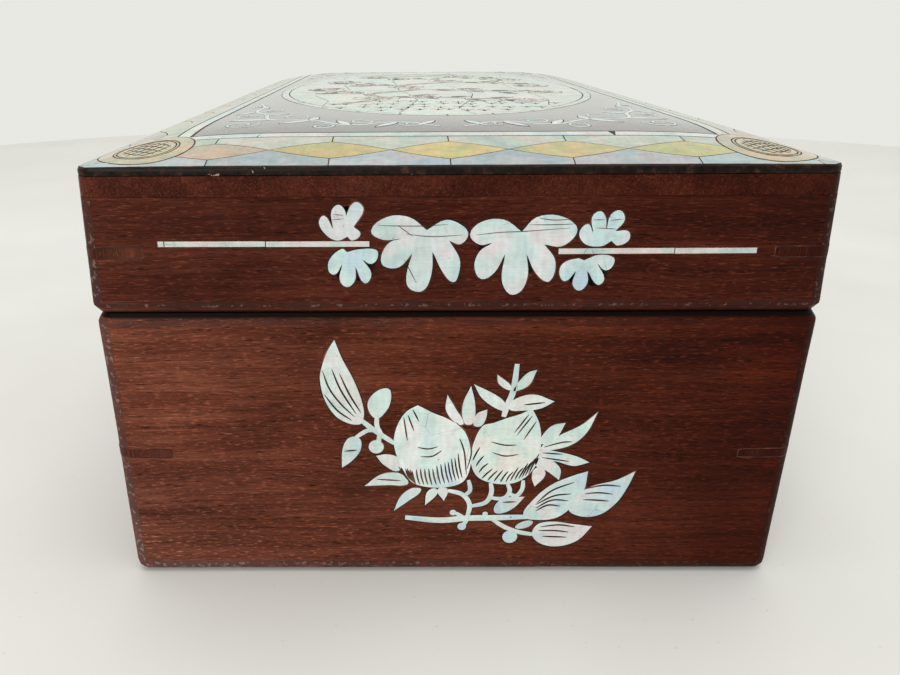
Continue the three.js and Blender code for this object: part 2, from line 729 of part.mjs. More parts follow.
// The domed board, the black bed round its edge, and the inlay in both.
function lidTop(outline) {
  const surface = underTop(0);
  const bottomOfInlay = underTop(INLAY_THICKNESS);
  const bottomOfPocket = underTop(POCKET_DEPTH);
  const low = LID_RAIL_HEIGHT;
  const high = LID_EDGE_HEIGHT + CROWN + 1;
  const plateOf = (solid) => solid.intersect(surface).subtract(bottomOfInlay);
  const pocketOf = (solid) => solid.subtract(bottomOfPocket);

  const bandMiddle = BAND_INSET + BAND_WIDTH / 2;
  const bandEnd = MEDALLION_INSET + MEDALLION_RADIUS + 0.6;
  const ends = { x: EDGE_HALF.x - bandEnd, y: EDGE_HALF.y - bandEnd };
  const place = { x: EDGE_HALF.x - bandMiddle, y: EDGE_HALF.y - bandMiddle };
  const band = (grow) => ({
    near: rectangle(ends.x + grow, BAND_WIDTH / 2 + grow, 0, -place.y),
    far: rectangle(ends.x + grow, BAND_WIDTH / 2 + grow, 0, place.y),
    left: rectangle(BAND_WIDTH / 2 + grow, ends.y + grow, -place.x, 0),
    right: rectangle(BAND_WIDTH / 2 + grow, ends.y + grow, place.x, 0),
  });
  const medallion = ({ x, y }, grow) => {
    const radius = MEDALLION_RADIUS + grow;
    return ellipse(x * (EDGE_HALF.x - MEDALLION_INSET), y * (EDGE_HALF.y - MEDALLION_INSET), radius, radius, 16);
  };
  const lineRing = (grow) => {
    const out = STRINGING_INSET - grow;
    const within = STRINGING_INSET + STRINGING_WIDTH + grow;
    const whole = prism(rectangle(EDGE_HALF.x - out, EDGE_HALF.y - out), low, high);
    const hole = prism(rectangle(EDGE_HALF.x - within, EDGE_HALF.y - within), low - 1, high + 1);
    const rounds = CORNERS.map((corner) => prism(medallion(corner, 2 * POCKET_CLEARANCE - grow), low - 1, high + 1));
    return subtractAll(whole, [hole, ...rounds]);
  };

  const borderPieces = [
    ...Object.keys(FACES).map((face) => ({
      name: "lid_band_" + face,
      plate: prism(band(0)[face], low, high),
      pocket: prism(band(POCKET_CLEARANCE)[face], low, high),
      surface: paleShell,
    })),
    ...CORNERS.map((corner) => ({
      name: "lid_medallion_" + corner.name,
      plate: prism(medallion(corner, 0), low, high),
      pocket: prism(medallion(corner, POCKET_CLEARANCE), low, high),
      surface: goldenShell,
    })),
    {
      name: "lid_stringing",
      plate: lineRing(0),
      pocket: lineRing(POCKET_CLEARANCE),
      surface: paleShell,
    },
  ];
  const oval = (grow) => ellipse(0, 0, OVAL_HALF_WIDTH + grow, OVAL_HALF_LENGTH + grow, 36);
  const fieldPieces = [
    {
      name: "lid_oval_panel",
      plate: prism(oval(0), low, high),
      pocket: prism(oval(POCKET_CLEARANCE), low, high),
      surface: paleShell,
    },
    ...CORNERS.map(({ name, x, y }) => ({
      name: "lid_scroll_" + name,
      plate: drawing(scroll(x, y), 0, low, high),
      pocket: drawing(scroll(x, y), POCKET_CLEARANCE, low, high),
      surface: paleShell,
    })),
  ];

  const field = (grow) => prism(rectangle(FIELD_HALF.x + grow, FIELD_HALF.y + grow), low, high);
  const ledge = outline.intersect(underTop(BORDER_BED + GAP));
  const raised = field(0).intersect(surface);
  const board = subtractAll(ledge.add(raised), fieldPieces.map(({ pocket }) => pocketOf(pocket)));
  const bedRing = outline.intersect(surface).subtract(field(GAP)).subtract(underTop(BORDER_BED));
  const bed = subtractAll(bedRing, borderPieces.map(({ pocket }) => pocketOf(pocket)));
  return [
    named("lid_top_board", board, lidWood),
    named("lid_border_bed", bed, lacquer),
    ...[...borderPieces, ...fieldPieces].map((piece) => named(piece.name, plateOf(piece.plate), piece.surface)),
  ];
}

const box = new THREE.Group();
box.add(bodyGroup(), lidGroup(), ...HINGE_PLACES.map(hinge));

export default box;
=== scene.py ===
"""The looks of the inlaid box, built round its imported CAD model. Sizes are in millimetres.

The near end faces -Y, +Z is up, and the lid is hinged along the +X side.
"""

import math
import random

import bmesh
import bpy
from mathutils import Matrix, Vector, noise


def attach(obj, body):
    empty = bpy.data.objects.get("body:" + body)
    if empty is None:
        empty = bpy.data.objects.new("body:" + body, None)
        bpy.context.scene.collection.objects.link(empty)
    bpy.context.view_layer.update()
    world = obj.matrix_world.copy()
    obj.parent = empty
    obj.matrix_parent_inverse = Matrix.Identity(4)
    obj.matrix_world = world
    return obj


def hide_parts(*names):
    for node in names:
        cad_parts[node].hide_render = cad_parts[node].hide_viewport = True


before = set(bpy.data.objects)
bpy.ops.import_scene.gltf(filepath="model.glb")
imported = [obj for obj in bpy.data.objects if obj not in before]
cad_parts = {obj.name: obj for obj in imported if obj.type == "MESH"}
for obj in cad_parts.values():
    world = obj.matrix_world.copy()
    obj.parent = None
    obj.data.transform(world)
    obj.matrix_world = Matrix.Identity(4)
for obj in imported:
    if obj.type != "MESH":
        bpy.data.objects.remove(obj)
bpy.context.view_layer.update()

METRES = 0.001
rng = random.Random(11)

# The CAD model's own dimensions.
BODY_HALF = (56.75, 105.0)
BODY_TOP = 49.6
WALL = 8.5
BOARD_TOP = 5.0
REBATE = 4.0
CORNER_RADIUS = 2.5
FOOT_RADIUS = 2.2
JOINT_INSET = 1.0
CHAMFER_HEIGHT = 1.3
LID_BASE = 49.7
LID_SHIFT = -0.2
LID_HALF = (56.75, 105.4)
EDGE_HALF = (56.05, 104.7)
LID_WALL = 8.5
RAIL_HEIGHT = 18.0
EDGE_HEIGHT = 22.3
LEAN = 0.7 / EDGE_HEIGHT
BED_THICKNESS = 1.2
CROWN = 3.9
CROWN_REACH = 40.0
CROWN_POWER = 3.8
BORDER = 14.3
GLUE_LINE = 0.04
KEY_LEG = 9.5
KEY_THICKNESS = 1.5
BODY_KEY_HEIGHT = 24.7
LID_KEY_HEIGHT = 9.6
SPRAY_PLACE = (0.1, 0.9)  # each spray's own origin on its face, right and up
GARLAND_PLACE = (-0.5, -0.1)
OVAL = (39.2, 73.0)
MEDALLION = 8.5
MEDALLION_RADIUS = 7.2
LID_CORNERS = {"near_left": (-1, -1), "near_right": (1, -1), "far_left": (-1, 1), "far_right": (1, 1)}

# How the inlay lies in the wood.
SHELL_TOP = 0.03
RAISED_TOP = 0.08
SHELL_DEPTH = -0.5
SEAM_DROP = 0.022
SEAM_WIDTH = 0.16


# ---------------------------------------------------------------- camera, light and floor

CAMERA_PLACE = Vector((-8.41, -215.11, 90.22))
CAMERA_PITCH = math.radians(22.49)
CAMERA_YAW = math.radians(-0.41)
CAMERA_ROLL = math.radians(-0.34)
CAMERA_LENS = 30.26
CAMERA_SHIFT = (0.058, 0.0063)


def make_camera():
    data = bpy.data.cameras.new("camera")
    data.sensor_width = 36.0
    data.lens = CAMERA_LENS
    data.shift_x, data.shift_y = CAMERA_SHIFT
    data.clip_start = 0.01
    data.clip_end = 20.0
    camera = bpy.data.objects.new("camera", data)
    bpy.context.scene.collection.objects.link(camera)
    flat = math.cos(CAMERA_PITCH)
    forward = Vector((math.sin(CAMERA_YAW) * flat, math.cos(CAMERA_YAW) * flat, -math.sin(CAMERA_PITCH)))
    level = Vector((math.cos(CAMERA_YAW), -math.sin(CAMERA_YAW), 0.0))
    above = level.cross(forward)
    right = level * math.cos(CAMERA_ROLL) + above * math.sin(CAMERA_ROLL)
    up = above * math.cos(CAMERA_ROLL) - level * math.sin(CAMERA_ROLL)
    turned = Matrix((right, up, -forward)).transposed().to_4x4()
    camera.matrix_world = Matrix.Translation(CAMERA_PLACE * METRES) @ turned
    bpy.context.scene.camera = camera


def make_area_light(name, place, target, size, power, color):
    data = bpy.data.lights.new(name, "AREA")
    data.shape = "DISK"
    data.size = size
    data.energy = power
    data.color = color
    light = bpy.data.objects.new(name, data)
    bpy.context.scene.collection.objects.link(light)
    light.location = place
    light.rotation_euler = (Vector(target) - Vector(place)).to_track_quat("-Z", "Y").to_euler()


def make_world():
    """A pale room, brightest beyond the far end, where the lid's polish mirrors it."""
    world = bpy.data.worlds.new("room")
    bpy.context.scene.world = world
    world.use_nodes = True
    tree = world.node_tree
    background = tree.nodes["Background"]
    direction = tree.nodes.new("ShaderNodeTexCoord")
    split = tree.nodes.new("ShaderNodeSeparateXYZ")
    ramp = tree.nodes.new("ShaderNodeValToRGB")
    shifted = tree.nodes.new("ShaderNodeMath")
    shifted.operation = "MULTIPLY_ADD"
    shifted.inputs[1].default_value = 0.5
    shifted.inputs[2].default_value = 0.5
    ramp.color_ramp.elements[0].position = 0.2
    ramp.color_ramp.elements[0].color = (0.54, 0.54, 0.53, 1)
    ramp.color_ramp.elements[1].position = 0.75
    ramp.color_ramp.elements[1].color = (0.80, 0.81, 0.76, 1)
    tree.links.new(direction.outputs["Generated"], split.inputs[0])
    tree.links.new(split.outputs["Y"], shifted.inputs[0])
    tree.links.new(shifted.outputs[0], ramp.inputs[0])
    tree.links.new(ramp.outputs[0], background.inputs["Color"])


# ---------------------------------------------------------------- materials


class Paint:
    """A material being made: its nodes end at one Principled shader."""

    def __init__(self, name):
        self.material = bpy.data.materials.new(name)
        self.material.use_nodes = True
        self.tree = self.material.node_tree
        self.shader = self.tree.nodes["Principled BSDF"]

    def feed(self, socket, value):
        if isinstance(value, bpy.types.NodeSocket):
            self.tree.links.new(value, socket)
        else:
            socket.default_value = value

    def node(self, kind, values=(), **settings):
        made = self.tree.nodes.new("ShaderNode" + kind)
        for key, value in settings.items():
            setattr(made, key, value)
        for key, value in dict(values).items():
            self.feed(made.inputs[key], value)
        return made

    def set(self, **sockets):
        for key, value in sockets.items():
            self.feed(self.shader.inputs[key.replace("_", " ")], value)

    def math(self, operation, a, b=0.0, clamp=False):
        return self.node("Math", {0: a, 1: b}, operation=operation, use_clamp=clamp).outputs[0]

    def scaled(self, vector, by):
        return self.node("VectorMath", {0: vector, 1: by}, operation="MULTIPLY").outputs[0]

    def shifted(self, vector, by):
        return self.node("VectorMath", {0: vector, 1: by}, operation="ADD").outputs[0]

    def noise(self, vector, scale=1.0, detail=3.0, roughness=0.5, distortion=0.0):
        values = {"Vector": vector, "Scale": scale, "Detail": detail, "Roughness": roughness}
        return self.node("TexNoise", {**values, "Distortion": distortion}).outputs[0]

    def ramp(self, value, *stops):
        made = self.node("ValToRGB", {0: value})
        elements = made.color_ramp.elements
        while len(elements) < len(stops):
            elements.new(0.5)
        for element, (position, color) in zip(elements, stops):
            element.position = position
            element.color = (*color, 1) if isinstance(color, tuple) else (color, color, color, 1)
        return made.outputs[0]

    def mix(self, factor, a, b, blend="MIX"):
        made = self.node("Mix", {0: factor}, data_type="RGBA", blend_type=blend)
        for index, value in ((6, a), (7, b)):
            self.feed(made.inputs[index], (*value, 1) if isinstance(value, tuple) else value)
        return made.outputs[2]

    def attribute(self, name):
        return self.node("Attribute", attribute_name=name)

    def place(self):
        """Where a point is on the object, in millimetres."""
        made = self.node("TexCoord").outputs["Object"]
        return self.scaled(made, (1000, 1000, 1000))

    def bump(self, height, strength, distance):
        values = {"Height": height, "Strength": strength, "Distance": distance}
        return self.node("Bump", values).outputs[0]


def wood(name, dark, middle, light, roughness=0.34, coat=0.0, painted_side_light=0.0, gloss_level=0.05, fleck=0.55):
    """Close-grained hardwood that follows each piece's own grain, with pores, scuffs and worn arrises,
    painted shade along the joint between lid and body, and where asked painted light and shade across the
    box.
    """
    p = Paint(name)
    grain = p.attribute("grain").outputs["Vector"]
    wear = p.attribute("wear").outputs["Fac"]
    wander = p.noise(p.scaled(grain, (0.014, 0.05, 0.05)), detail=2.0)
    bent = p.shifted(grain, p.scaled(p.node("CombineXYZ", {"Y": wander}).outputs[0], (0, 6, 0)))
    broad = p.noise(p.scaled(bent, (0.012, 0.13, 0.13)), detail=3.0)
    streak = p.noise(p.scaled(bent, (0.06, 1.7, 1.7)), detail=6.0, roughness=0.66)
    fibre = p.noise(p.scaled(bent, (0.3, 7.0, 7.0)), detail=4.0, roughness=0.7)
    pores = p.noise(p.scaled(bent, (0.55, 5.2, 5.2)), detail=2.0, roughness=0.4)
    blend = p.math("ADD", p.math("MULTIPLY", broad, 0.5), p.math("MULTIPLY", streak, 0.5))
    color = p.ramp(blend, (0.34, dark), (0.5, middle), (0.66, light))
    color = p.mix(0.75, color, p.ramp(fibre, (0.32, 0.55), (0.62, 1.35)), "MULTIPLY")
    pore = p.ramp(pores, (0.60, 1.0), (0.70, 0.35))
    color = p.mix(1.0, color, pore, "MULTIPLY")
    scuff_line = p.noise(p.scaled(grain, (0.035, 3.4, 3.4)), detail=3.0, roughness=0.5)
    scuff = p.ramp(p.math("MULTIPLY", scuff_line, p.noise(grain, scale=0.05)), (0.385, 0.0), (0.43, 0.5))
    color = p.mix(scuff, color, tuple(1.5 * c for c in light))
    flecks = p.noise(p.scaled(bent, (0.75, 3.6, 3.6)), detail=3.0, roughness=0.55)
    color = p.mix(p.ramp(flecks, (0.56, 0.0), (0.72, fleck)), color, tuple(2.2 * c for c in light))
    worn = p.math("MULTIPLY", wear, p.noise(grain, scale=0.3, detail=4.0))
    worn = p.ramp(worn, (0.2, 0.0), (0.5, 0.85))
    color = p.mix(worn, color, tuple(0.55 * c + 0.012 for c in middle))
    chips = p.math("MULTIPLY", wear, p.noise(grain, scale=1.1, detail=5.0, roughness=0.65))
    color = p.mix(p.ramp(chips, (0.555, 0.0), (0.6, 0.6)), color, (0.20, 0.13, 0.10))
    grime = p.ramp(p.noise(grain, scale=0.06, detail=4.0, distortion=0.4), (0.3, 0.5), (0.62, 1.1))
    color = p.mix(0.6, color, grime, "MULTIPLY")
    # Painted light and shade: the colour is lifted and greyed towards -X as a painted sheen and painted
    # light from the window on the left, darkened and reddened towards +X as painted shade, and lifted low
    # down on the left as painted bounce light from the floor.
    if painted_side_light:
        across = p.node("SeparateXYZ", {0: p.place()}).outputs["X"]
        level = p.math("MULTIPLY_ADD", across, -0.5 / BODY_HALF[0])
        level.node.inputs[2].default_value = 0.5
        rise = p.node("SeparateXYZ", {0: p.place()}).outputs["Z"]
        low = p.ramp(p.math("MULTIPLY", rise, 1 / BODY_TOP), (0.0, 0.35), (0.55, 0.0))
        low = p.math("MULTIPLY", low, level)
        level = p.math("ADD", p.math("MULTIPLY", level, 0.75), low)
        painted_light_tones = p.ramp(
            level,
            (0.0, (0.38, 0.17, 0.09)),
            (0.37, (0.85, 0.76, 0.70)),
            (0.75, (1.3, 1.45, 1.6)),
            (1.0, (1.8, 2.3, 2.7)),
        )
        color = p.mix(painted_side_light, color, painted_light_tones, "MULTIPLY")
    # Painted shade: where the point's value is below 0, along the joint between lid and body, the colour is
    # mixed towards near-black.
    sunk = p.math("MULTIPLY", wear, -1.0, clamp=True)
    color = p.mix(sunk, color, (0.006, 0.003, 0.002))
    gloss = p.math("MULTIPLY", p.noise(grain, scale=0.22, detail=4.0), 0.24)
    gloss = p.math("ADD", gloss, roughness - 0.12)
    height = p.math("ADD", p.math("MULTIPLY", fibre, 0.5), p.math("MULTIPLY", pore, 1.0))
    p.set(Base_Color=color, Roughness=p.math("ADD", gloss, p.math("MULTIPLY", worn, 0.2)))
    p.set(Normal=p.bump(height, 0.5, 0.00006), Specular_IOR_Level=gloss_level)
    p.set(Coat_Weight=coat, Coat_Roughness=0.1, Coat_IOR=1.7)
    return p.material


def shell(name, fibrous=0.2, coat=0.5):
    """Nacre: each plate has its own tint, with clouded colour, growth lines, fibres and fine cracks."""
    p = Paint(name)
    tint = p.attribute("tint")
    number = tint.outputs["Alpha"]
    own = p.node("CombineXYZ", {"X": number, "Y": number}).outputs[0]
    place = p.shifted(p.place(), p.scaled(own, (97, 61, 0)))
    cloud = p.noise(place, scale=0.12, detail=1.5, distortion=1.2)
    hue = p.ramp(
        cloud,
        (0.30, (1.04, 0.90, 0.90)),
        (0.45, (1.0, 1.0, 1.0)),
        (0.56, (0.78, 0.98, 0.93)),
        (0.7, (0.68, 0.84, 0.97)),
    )
    color = p.mix(0.8, tint.outputs["Color"], hue, "MULTIPLY")
    lobes = p.noise(place, scale=0.42, detail=3.0, distortion=0.8)
    color = p.mix(0.5, color, p.ramp(lobes, (0.3, 0.74), (0.5, 0.98), (0.68, 1.16)), "MULTIPLY")
    waves = {"Vector": place, "Scale": 0.28, "Distortion": 7.0, "Detail": 3.0, "Detail Scale": 0.8}
    bands = p.node("TexWave", waves)
    color = p.mix(0.18, color, p.ramp(bands.outputs[0], (0.0, 0.84), (1.0, 1.1)), "MULTIPLY")
    fibre = p.noise(p.scaled(place, (0.35, 0.35, 3.2)), detail=4.0, roughness=0.65, distortion=0.5)
    color = p.mix(fibrous, color, p.ramp(fibre, (0.3, 0.6), (0.65, 1.2)), "MULTIPLY")
    cells = p.node("TexVoronoi", {"Vector": place, "Scale": 0.17}, feature="DISTANCE_TO_EDGE").outputs[0]
    crack = p.ramp(cells, (0.004, 0.0), (0.009, 1.0))
    crack = p.math("MAXIMUM", crack, p.ramp(p.noise(place, scale=0.11), (0.58, 1.0), (0.66, 0.25)))
    color = p.mix(1.0, color, p.ramp(crack, (0.0, 0.45), (1.0, 1.0)), "MULTIPLY")
    specks = p.ramp(p.noise(place, scale=1.6, detail=1.0), (0.76, 1.0), (0.8, 0.4))
    color = p.mix(1.0, color, specks, "MULTIPLY")
    height = p.math("ADD", crack, p.math("MULTIPLY", fibre, 0.3))
    p.set(Base_Color=color, Roughness=p.ramp(lobes, (0.3, 0.34), (0.7, 0.2)), Specular_IOR_Level=0.7)
    p.set(Coat_Weight=coat, Coat_Roughness=0.08, Normal=p.bump(height, 0.35, 0.00004))
    return p.material


def mastic():
    """The dark filler round the shell and in its engraved lines, redder in patches."""
    p = Paint("mastic")
    place = p.place()
    patches = p.noise(place, scale=0.3, detail=3.0)
    tones = ((0.012, 0.006, 0.004), (0.075, 0.024, 0.014), (0.2, 0.07, 0.045))
    color = p.ramp(patches, *zip((0.42, 0.58, 0.72), tones))
    grit = p.noise(place, scale=4.0, detail=3.0)
    color = p.mix(0.6, color, p.ramp(grit, (0.3, 0.5), (0.7, 1.3)), "MULTIPLY")
    p.set(Base_Color=color, Roughness=p.ramp(grit, (0.3, 0.55), (0.7, 0.8)))
    p.set(Normal=p.bump(grit, 0.4, 0.00004), Specular_IOR_Level=0.25)
    return p.material


def lacquer():
    """Black lacquer, dusty brown in places, with a few chips down to the pale ground."""
    p = Paint("lacquer")
    place = p.place()
    dust = p.noise(place, scale=0.7, detail=5.0, roughness=0.65)
    tones = ((0.003, 0.002, 0.0015), (0.012, 0.006, 0.004), (0.06, 0.026, 0.016))
    color = p.ramp(dust, *zip((0.35, 0.56, 0.72), tones))
    chips = p.noise(place, scale=0.26, detail=5.0, roughness=0.62)
    bare = p.ramp(chips, (0.675, 0.0), (0.69, 1.0))
    color = p.mix(bare, color, (0.42, 0.28, 0.22))
    rough = p.math("ADD", p.ramp(dust, (0.3, 0.25), (0.75, 0.55)), p.math("MULTIPLY", bare, 0.4))
    height = p.math("SUBTRACT", p.math("MULTIPLY", dust, 0.15), bare)
    p.set(Base_Color=color, Roughness=rough, Normal=p.bump(height, 0.6, 0.0002), Specular_IOR_Level=0.12)
    return p.material


def brass(name, base, tarnish):
    p = Paint(name)
    place = p.place()
    stain = p.noise(place, scale=0.5, detail=5.0, roughness=0.6)
    color = p.ramp(stain, (0.36, tarnish), (0.62, base))
    brushed = p.noise(p.scaled(place, (6.0, 0.8, 6.0)), detail=3.0)
    color = p.mix(0.4, color, p.ramp(brushed, (0.3, 0.75), (0.7, 1.15)), "MULTIPLY")
    p.set(Base_Color=color, Metallic=1.0, Roughness=p.ramp(stain, (0.35, 0.55), (0.65, 0.28)))
    p.set(Normal=p.bump(p.math("ADD", brushed, stain), 0.35, 0.00003))
    return p.material


def counter():
    """A plain pale floor with the faint flecks of a stone counter."""
    p = Paint("counter")
    place = p.place()
    cloud = p.noise(place, scale=0.012, detail=3.0)
    color = p.ramp(cloud, (0.3, (0.715, 0.705, 0.675)), (0.7, (0.765, 0.76, 0.735)))
    fleck = p.ramp(p.noise(place, scale=0.85, detail=1.5), (0.735, 1.0), (0.775, 0.88))
    color = p.mix(1.0, color, fleck, "MULTIPLY")
    grit = p.noise(place, scale=2.0, detail=2.0)
    p.set(Base_Color=color, Roughness=p.ramp(grit, (0.3, 0.5), (0.7, 0.6)), Specular_IOR_Level=0.25)
    p.set(Normal=p.bump(grit, 0.1, 0.00005))
    return p.material


# Each wood's dark, middle and light tones.
BODY_TONES = ((0.040, 0.0095, 0.0048), (0.093, 0.023, 0.0115), (0.165, 0.048, 0.025))
LID_TONES = ((0.027, 0.0055, 0.0028), (0.058, 0.012, 0.0062), (0.10, 0.025, 0.013))
FIELD_TONES = ((0.030, 0.013, 0.010), (0.050, 0.024, 0.018), (0.08, 0.042, 0.032))
KEY_TONES = ((0.030, 0.007, 0.0035), (0.062, 0.0155, 0.008), (0.10, 0.028, 0.015))
INNER_TONES = ((0.07, 0.026, 0.014), (0.13, 0.052, 0.027), (0.21, 0.095, 0.05))

# The body, lid and key woods get painted light from the left and painted shade on the right, at these
# strengths.
BODY_WOOD = wood("body_wood", *BODY_TONES, painted_side_light=1.0)
LID_WOOD = wood("lid_wood", *LID_TONES, painted_side_light=0.5)
FIELD_WOOD = wood("field_wood", *FIELD_TONES, coat=1.0, gloss_level=0.5, fleck=0.2)
KEY_WOOD = wood("key_wood", *KEY_TONES, roughness=0.4, painted_side_light=0.8)
INNER_WOOD = wood("inner_wood", *INNER_TONES, roughness=0.6)
PALE_SHELL = shell("pale_shell")
BAND_SHELL = shell("band_shell", fibrous=0.4, coat=0.35)
GOLDEN_SHELL = shell("golden_shell", fibrous=0.5, coat=0.35)
MASTIC = mastic()
LACQUER = lacquer()
BRASS = brass("brass", (0.62, 0.42, 0.17), (0.16, 0.10, 0.05))
PIN_BRASS = brass("pin_brass", (0.70, 0.52, 0.26), (0.22, 0.15, 0.08))
FLOOR = counter()


# ---------------------------------------------------------------- meshes


class Shape:
    """A mesh being gathered: points, faces, and what the materials read at each point."""

    def __init__(self):
        self.points = []
        self.faces = []
        self.grain = []
        self.wear = []
        self.tint = []
        self.second = []

    def add(self, points, faces, grain=None, wear=None, tint=None, second=False):
        base = len(self.points)
        self.points += [Vector(point) for point in points]
        self.faces += [[base + index for index in face] for face in faces]
        self.second += [second] * len(faces)
        self.grain += grain if grain else [Vector(point) for point in points]
        self.wear += wear if wear else [0.0] * len(points)
        self.tint += [tint or (0.6, 0.6, 0.6, 0.0)] * len(points)

    def build(self, name, body, materials, slot, replaced=(), merge=False, sharp=35.0):
        mesh = bpy.data.meshes.new(name)
        mesh.from_pydata([point * METRES for point in self.points], [], self.faces)
        wide = (("grain", "FLOAT_VECTOR", "vector", self.grain), ("tint", "FLOAT_COLOR", "color", self.tint))
        for label, kind, field, values in wide:
            layer = mesh.attributes.new(label, kind, "POINT")
            layer.data.foreach_set(field, [number for value in values for number in value])
        mesh.attributes.new("wear", "FLOAT", "POINT").data.foreach_set("value", self.wear)
        mesh.polygons.foreach_set("material_index", [int(flag) for flag in self.second])
        shown = bmesh.new()
        shown.from_mesh(mesh)
        if merge:
            bmesh.ops.remove_doubles(shown, verts=shown.verts, dist=0.002 * METRES)
            bmesh.ops.dissolve_degenerate(shown, edges=shown.edges, dist=0.001 * METRES)
        bmesh.ops.recalc_face_normals(shown, faces=shown.faces)
        shown.to_mesh(mesh)
        shown.free()
        mesh.polygons.foreach_set("use_smooth", [True] * len(mesh.polygons))
        mesh.set_sharp_from_angle(angle=math.radians(sharp))
        for material in materials:
            mesh.materials.append(material)
        made = bpy.data.objects.new(name, mesh)
        bpy.context.scene.collection.objects.link(made)
        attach(made, body)
        if replaced:
            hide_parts(*replaced)
        return made


def bridge(count, rings, closed_rings=True, closed_across=False):
    """Faces between rings of count points each, numbered in order."""
    faces = []
    for row in range(rings if closed_across else rings - 1):
        here = row * count
        there = (row + 1) % rings * count
        for i in range(count if closed_rings else count - 1):
            j = (i + 1) % count
            faces.append([here + i, here + j, there + j, there + i])
    return faces


def smooth(points, steps=5, closed=True):
    """A smooth line through (u, v) points. A point with a third value is a sharp corner."""
    count = len(points)

    def at(i):
        return points[i % count] if closed else points[min(max(i, 0), count - 1)]

    def heading(i, leaving):
        here = at(i)
        sharp = len(here) > 2 or (not closed and i in (0, count - 1))
        before = here if sharp and leaving else at(i - 1)
        after = here if sharp and not leaving else at(i + 1)
        across = (after[0] - before[0], after[1] - before[1])
        length = math.hypot(*across) or 1.0
        return (across[0] / length, across[1] / length)

    line = []
    for i in range(count if closed else count - 1):
        a, b = at(i), at(i + 1)
        reach = math.dist(a[:2], b[:2])
        m, n = heading(i, True), heading(i + 1, False)
        for step in range(steps):
            t = step / steps
            far = 3 * t**2 - 2 * t**3
            pulls = (1 - far, (t**3 - 2 * t**2 + t) * reach, far, (t**3 - t**2) * reach)
            line.append(tuple(sum(pull * p[k] for pull, p in zip(pulls, (a, m, b, n))) for k in (0, 1)))
    if not closed:
        line.append(tuple(points[-1][:2]))
    return line


def area(outline):
    return sum(a[0] * b[1] - b[0] * a[1] for a, b in zip(outline, outline[1:] + outline[:1])) / 2


def offset(outline, amount):
    """The outline moved outwards by an amount, for an outline that runs anticlockwise."""
    moved = []
    count = len(outline)
    for i, here in enumerate(outline):
        before, after = outline[i - 1], outline[(i + 1) % count]
        normals = []
        for a, b in ((before, here), (here, after)):
            length = math.dist(a, b) or 1e-6
            normals.append(((b[1] - a[1]) / length, (a[0] - b[0]) / length))
        across = (normals[0][0] + normals[1][0], normals[0][1] + normals[1][1])
        spread = math.hypot(*across)
        if spread < 0.5:
            moved.append((here[0] + normals[0][0] * amount, here[1] + normals[0][1] * amount))
            continue
        reach = min(2.0 / spread, 2.0) * amount / spread
        moved.append((here[0] + across[0] * reach, here[1] + across[1] * reach))
    return moved


def clip(outline, normal, limit):
    """The part of an outline where point . normal <= limit."""
    kept = []
    for a, b in zip(outline, outline[1:] + outline[:1]):
        side_a = a[0] * normal[0] + a[1] * normal[1] - limit
        side_b = b[0] * normal[0] + b[1] * normal[1] - limit
        if side_a <= 0:
            kept.append(a)
        if side_a * side_b < 0:
            part = side_a / (side_a - side_b)
            kept.append((a[0] + (b[0] - a[0]) * part, a[1] + (b[1] - a[1]) * part))
    return kept


def tidy_outline(outline, least=0.02):
    kept = [point for i, point in enumerate(outline) if math.dist(point, outline[i - 1]) > least]
    return kept if area(kept) > 0 else kept[::-1]


def slab(outline, low, high, soft, cell):
    """Points (u, v, h) and faces of one plate. One for the dome is cut into cells, so that it can bend."""
    count = len(outline)
    cut = bmesh.new()
    rows = [(outline, low), (outline, high - soft)]
    if soft:
        rows.append((offset(outline, -soft), high))
    rings = [[cut.verts.new((u, v, h)) for u, v in line] for line, h in rows]
    for lower, upper in zip(rings, rings[1:]):
        for i in range(count):
            j = (i + 1) % count
            cut.faces.new((lower[i], lower[j], upper[j], upper[i]))
    cut.faces.new(rings[-1])
    cut.faces.new(rings[0][::-1])
    if cell:
        bmesh.ops.triangulate(cut, faces=cut.faces)
        for axis in (0, 1):
            values = [point[axis] for point in outline]
            normal = (1.0 - axis, float(axis), 0.0)
            for k in range(math.ceil(min(values) / cell), math.floor(max(values) / cell) + 1):
                at = tuple(k * cell * part for part in normal)
                geometry = cut.verts[:] + cut.edges[:] + cut.faces[:]
                bmesh.ops.bisect_plane(cut, geom=geometry, plane_co=at, plane_no=normal, dist=1e-4)
    cut.verts.index_update()
    points = [tuple(vert.co) for vert in cut.verts]
    faces = [[vert.index for vert in face.verts] for face in cut.faces]
    cut.free()
    return points, faces


def ribbon(line, width, low, high, taper=0.0):
    """Points (u, v, h) and faces of a strip along a line; taper is how far it narrows towards its ends."""
    last = len(line) - 1
    points = []
    for i, here in enumerate(line):
        before, after = line[max(i - 1, 0)], line[min(i + 1, last)]
        length = math.dist(before, after) or 1e-6
        side = ((before[1] - after[1]) / length, (after[0] - before[0]) / length)
        half = width / 2 * (1 - taper * abs(2 * i / last - 1) ** 3)
        section = ((half, low), (half, high - 0.02), (half * 0.7, high))
        section += tuple((-reach, h) for reach, h in reversed(section))
        points += [(here[0] + side[0] * reach, here[1] + side[1] * reach, h) for reach, h in section]
    faces = []
    for i in range(last):
        for k in range(6):
            a, b = i * 6 + k, i * 6 + (k + 1) % 6
            faces.append([a, b, b + 6, a + 6])
    faces.append(list(range(6)))
    faces.append([last * 6 + k for k in range(5, -1, -1)])
    return points, faces


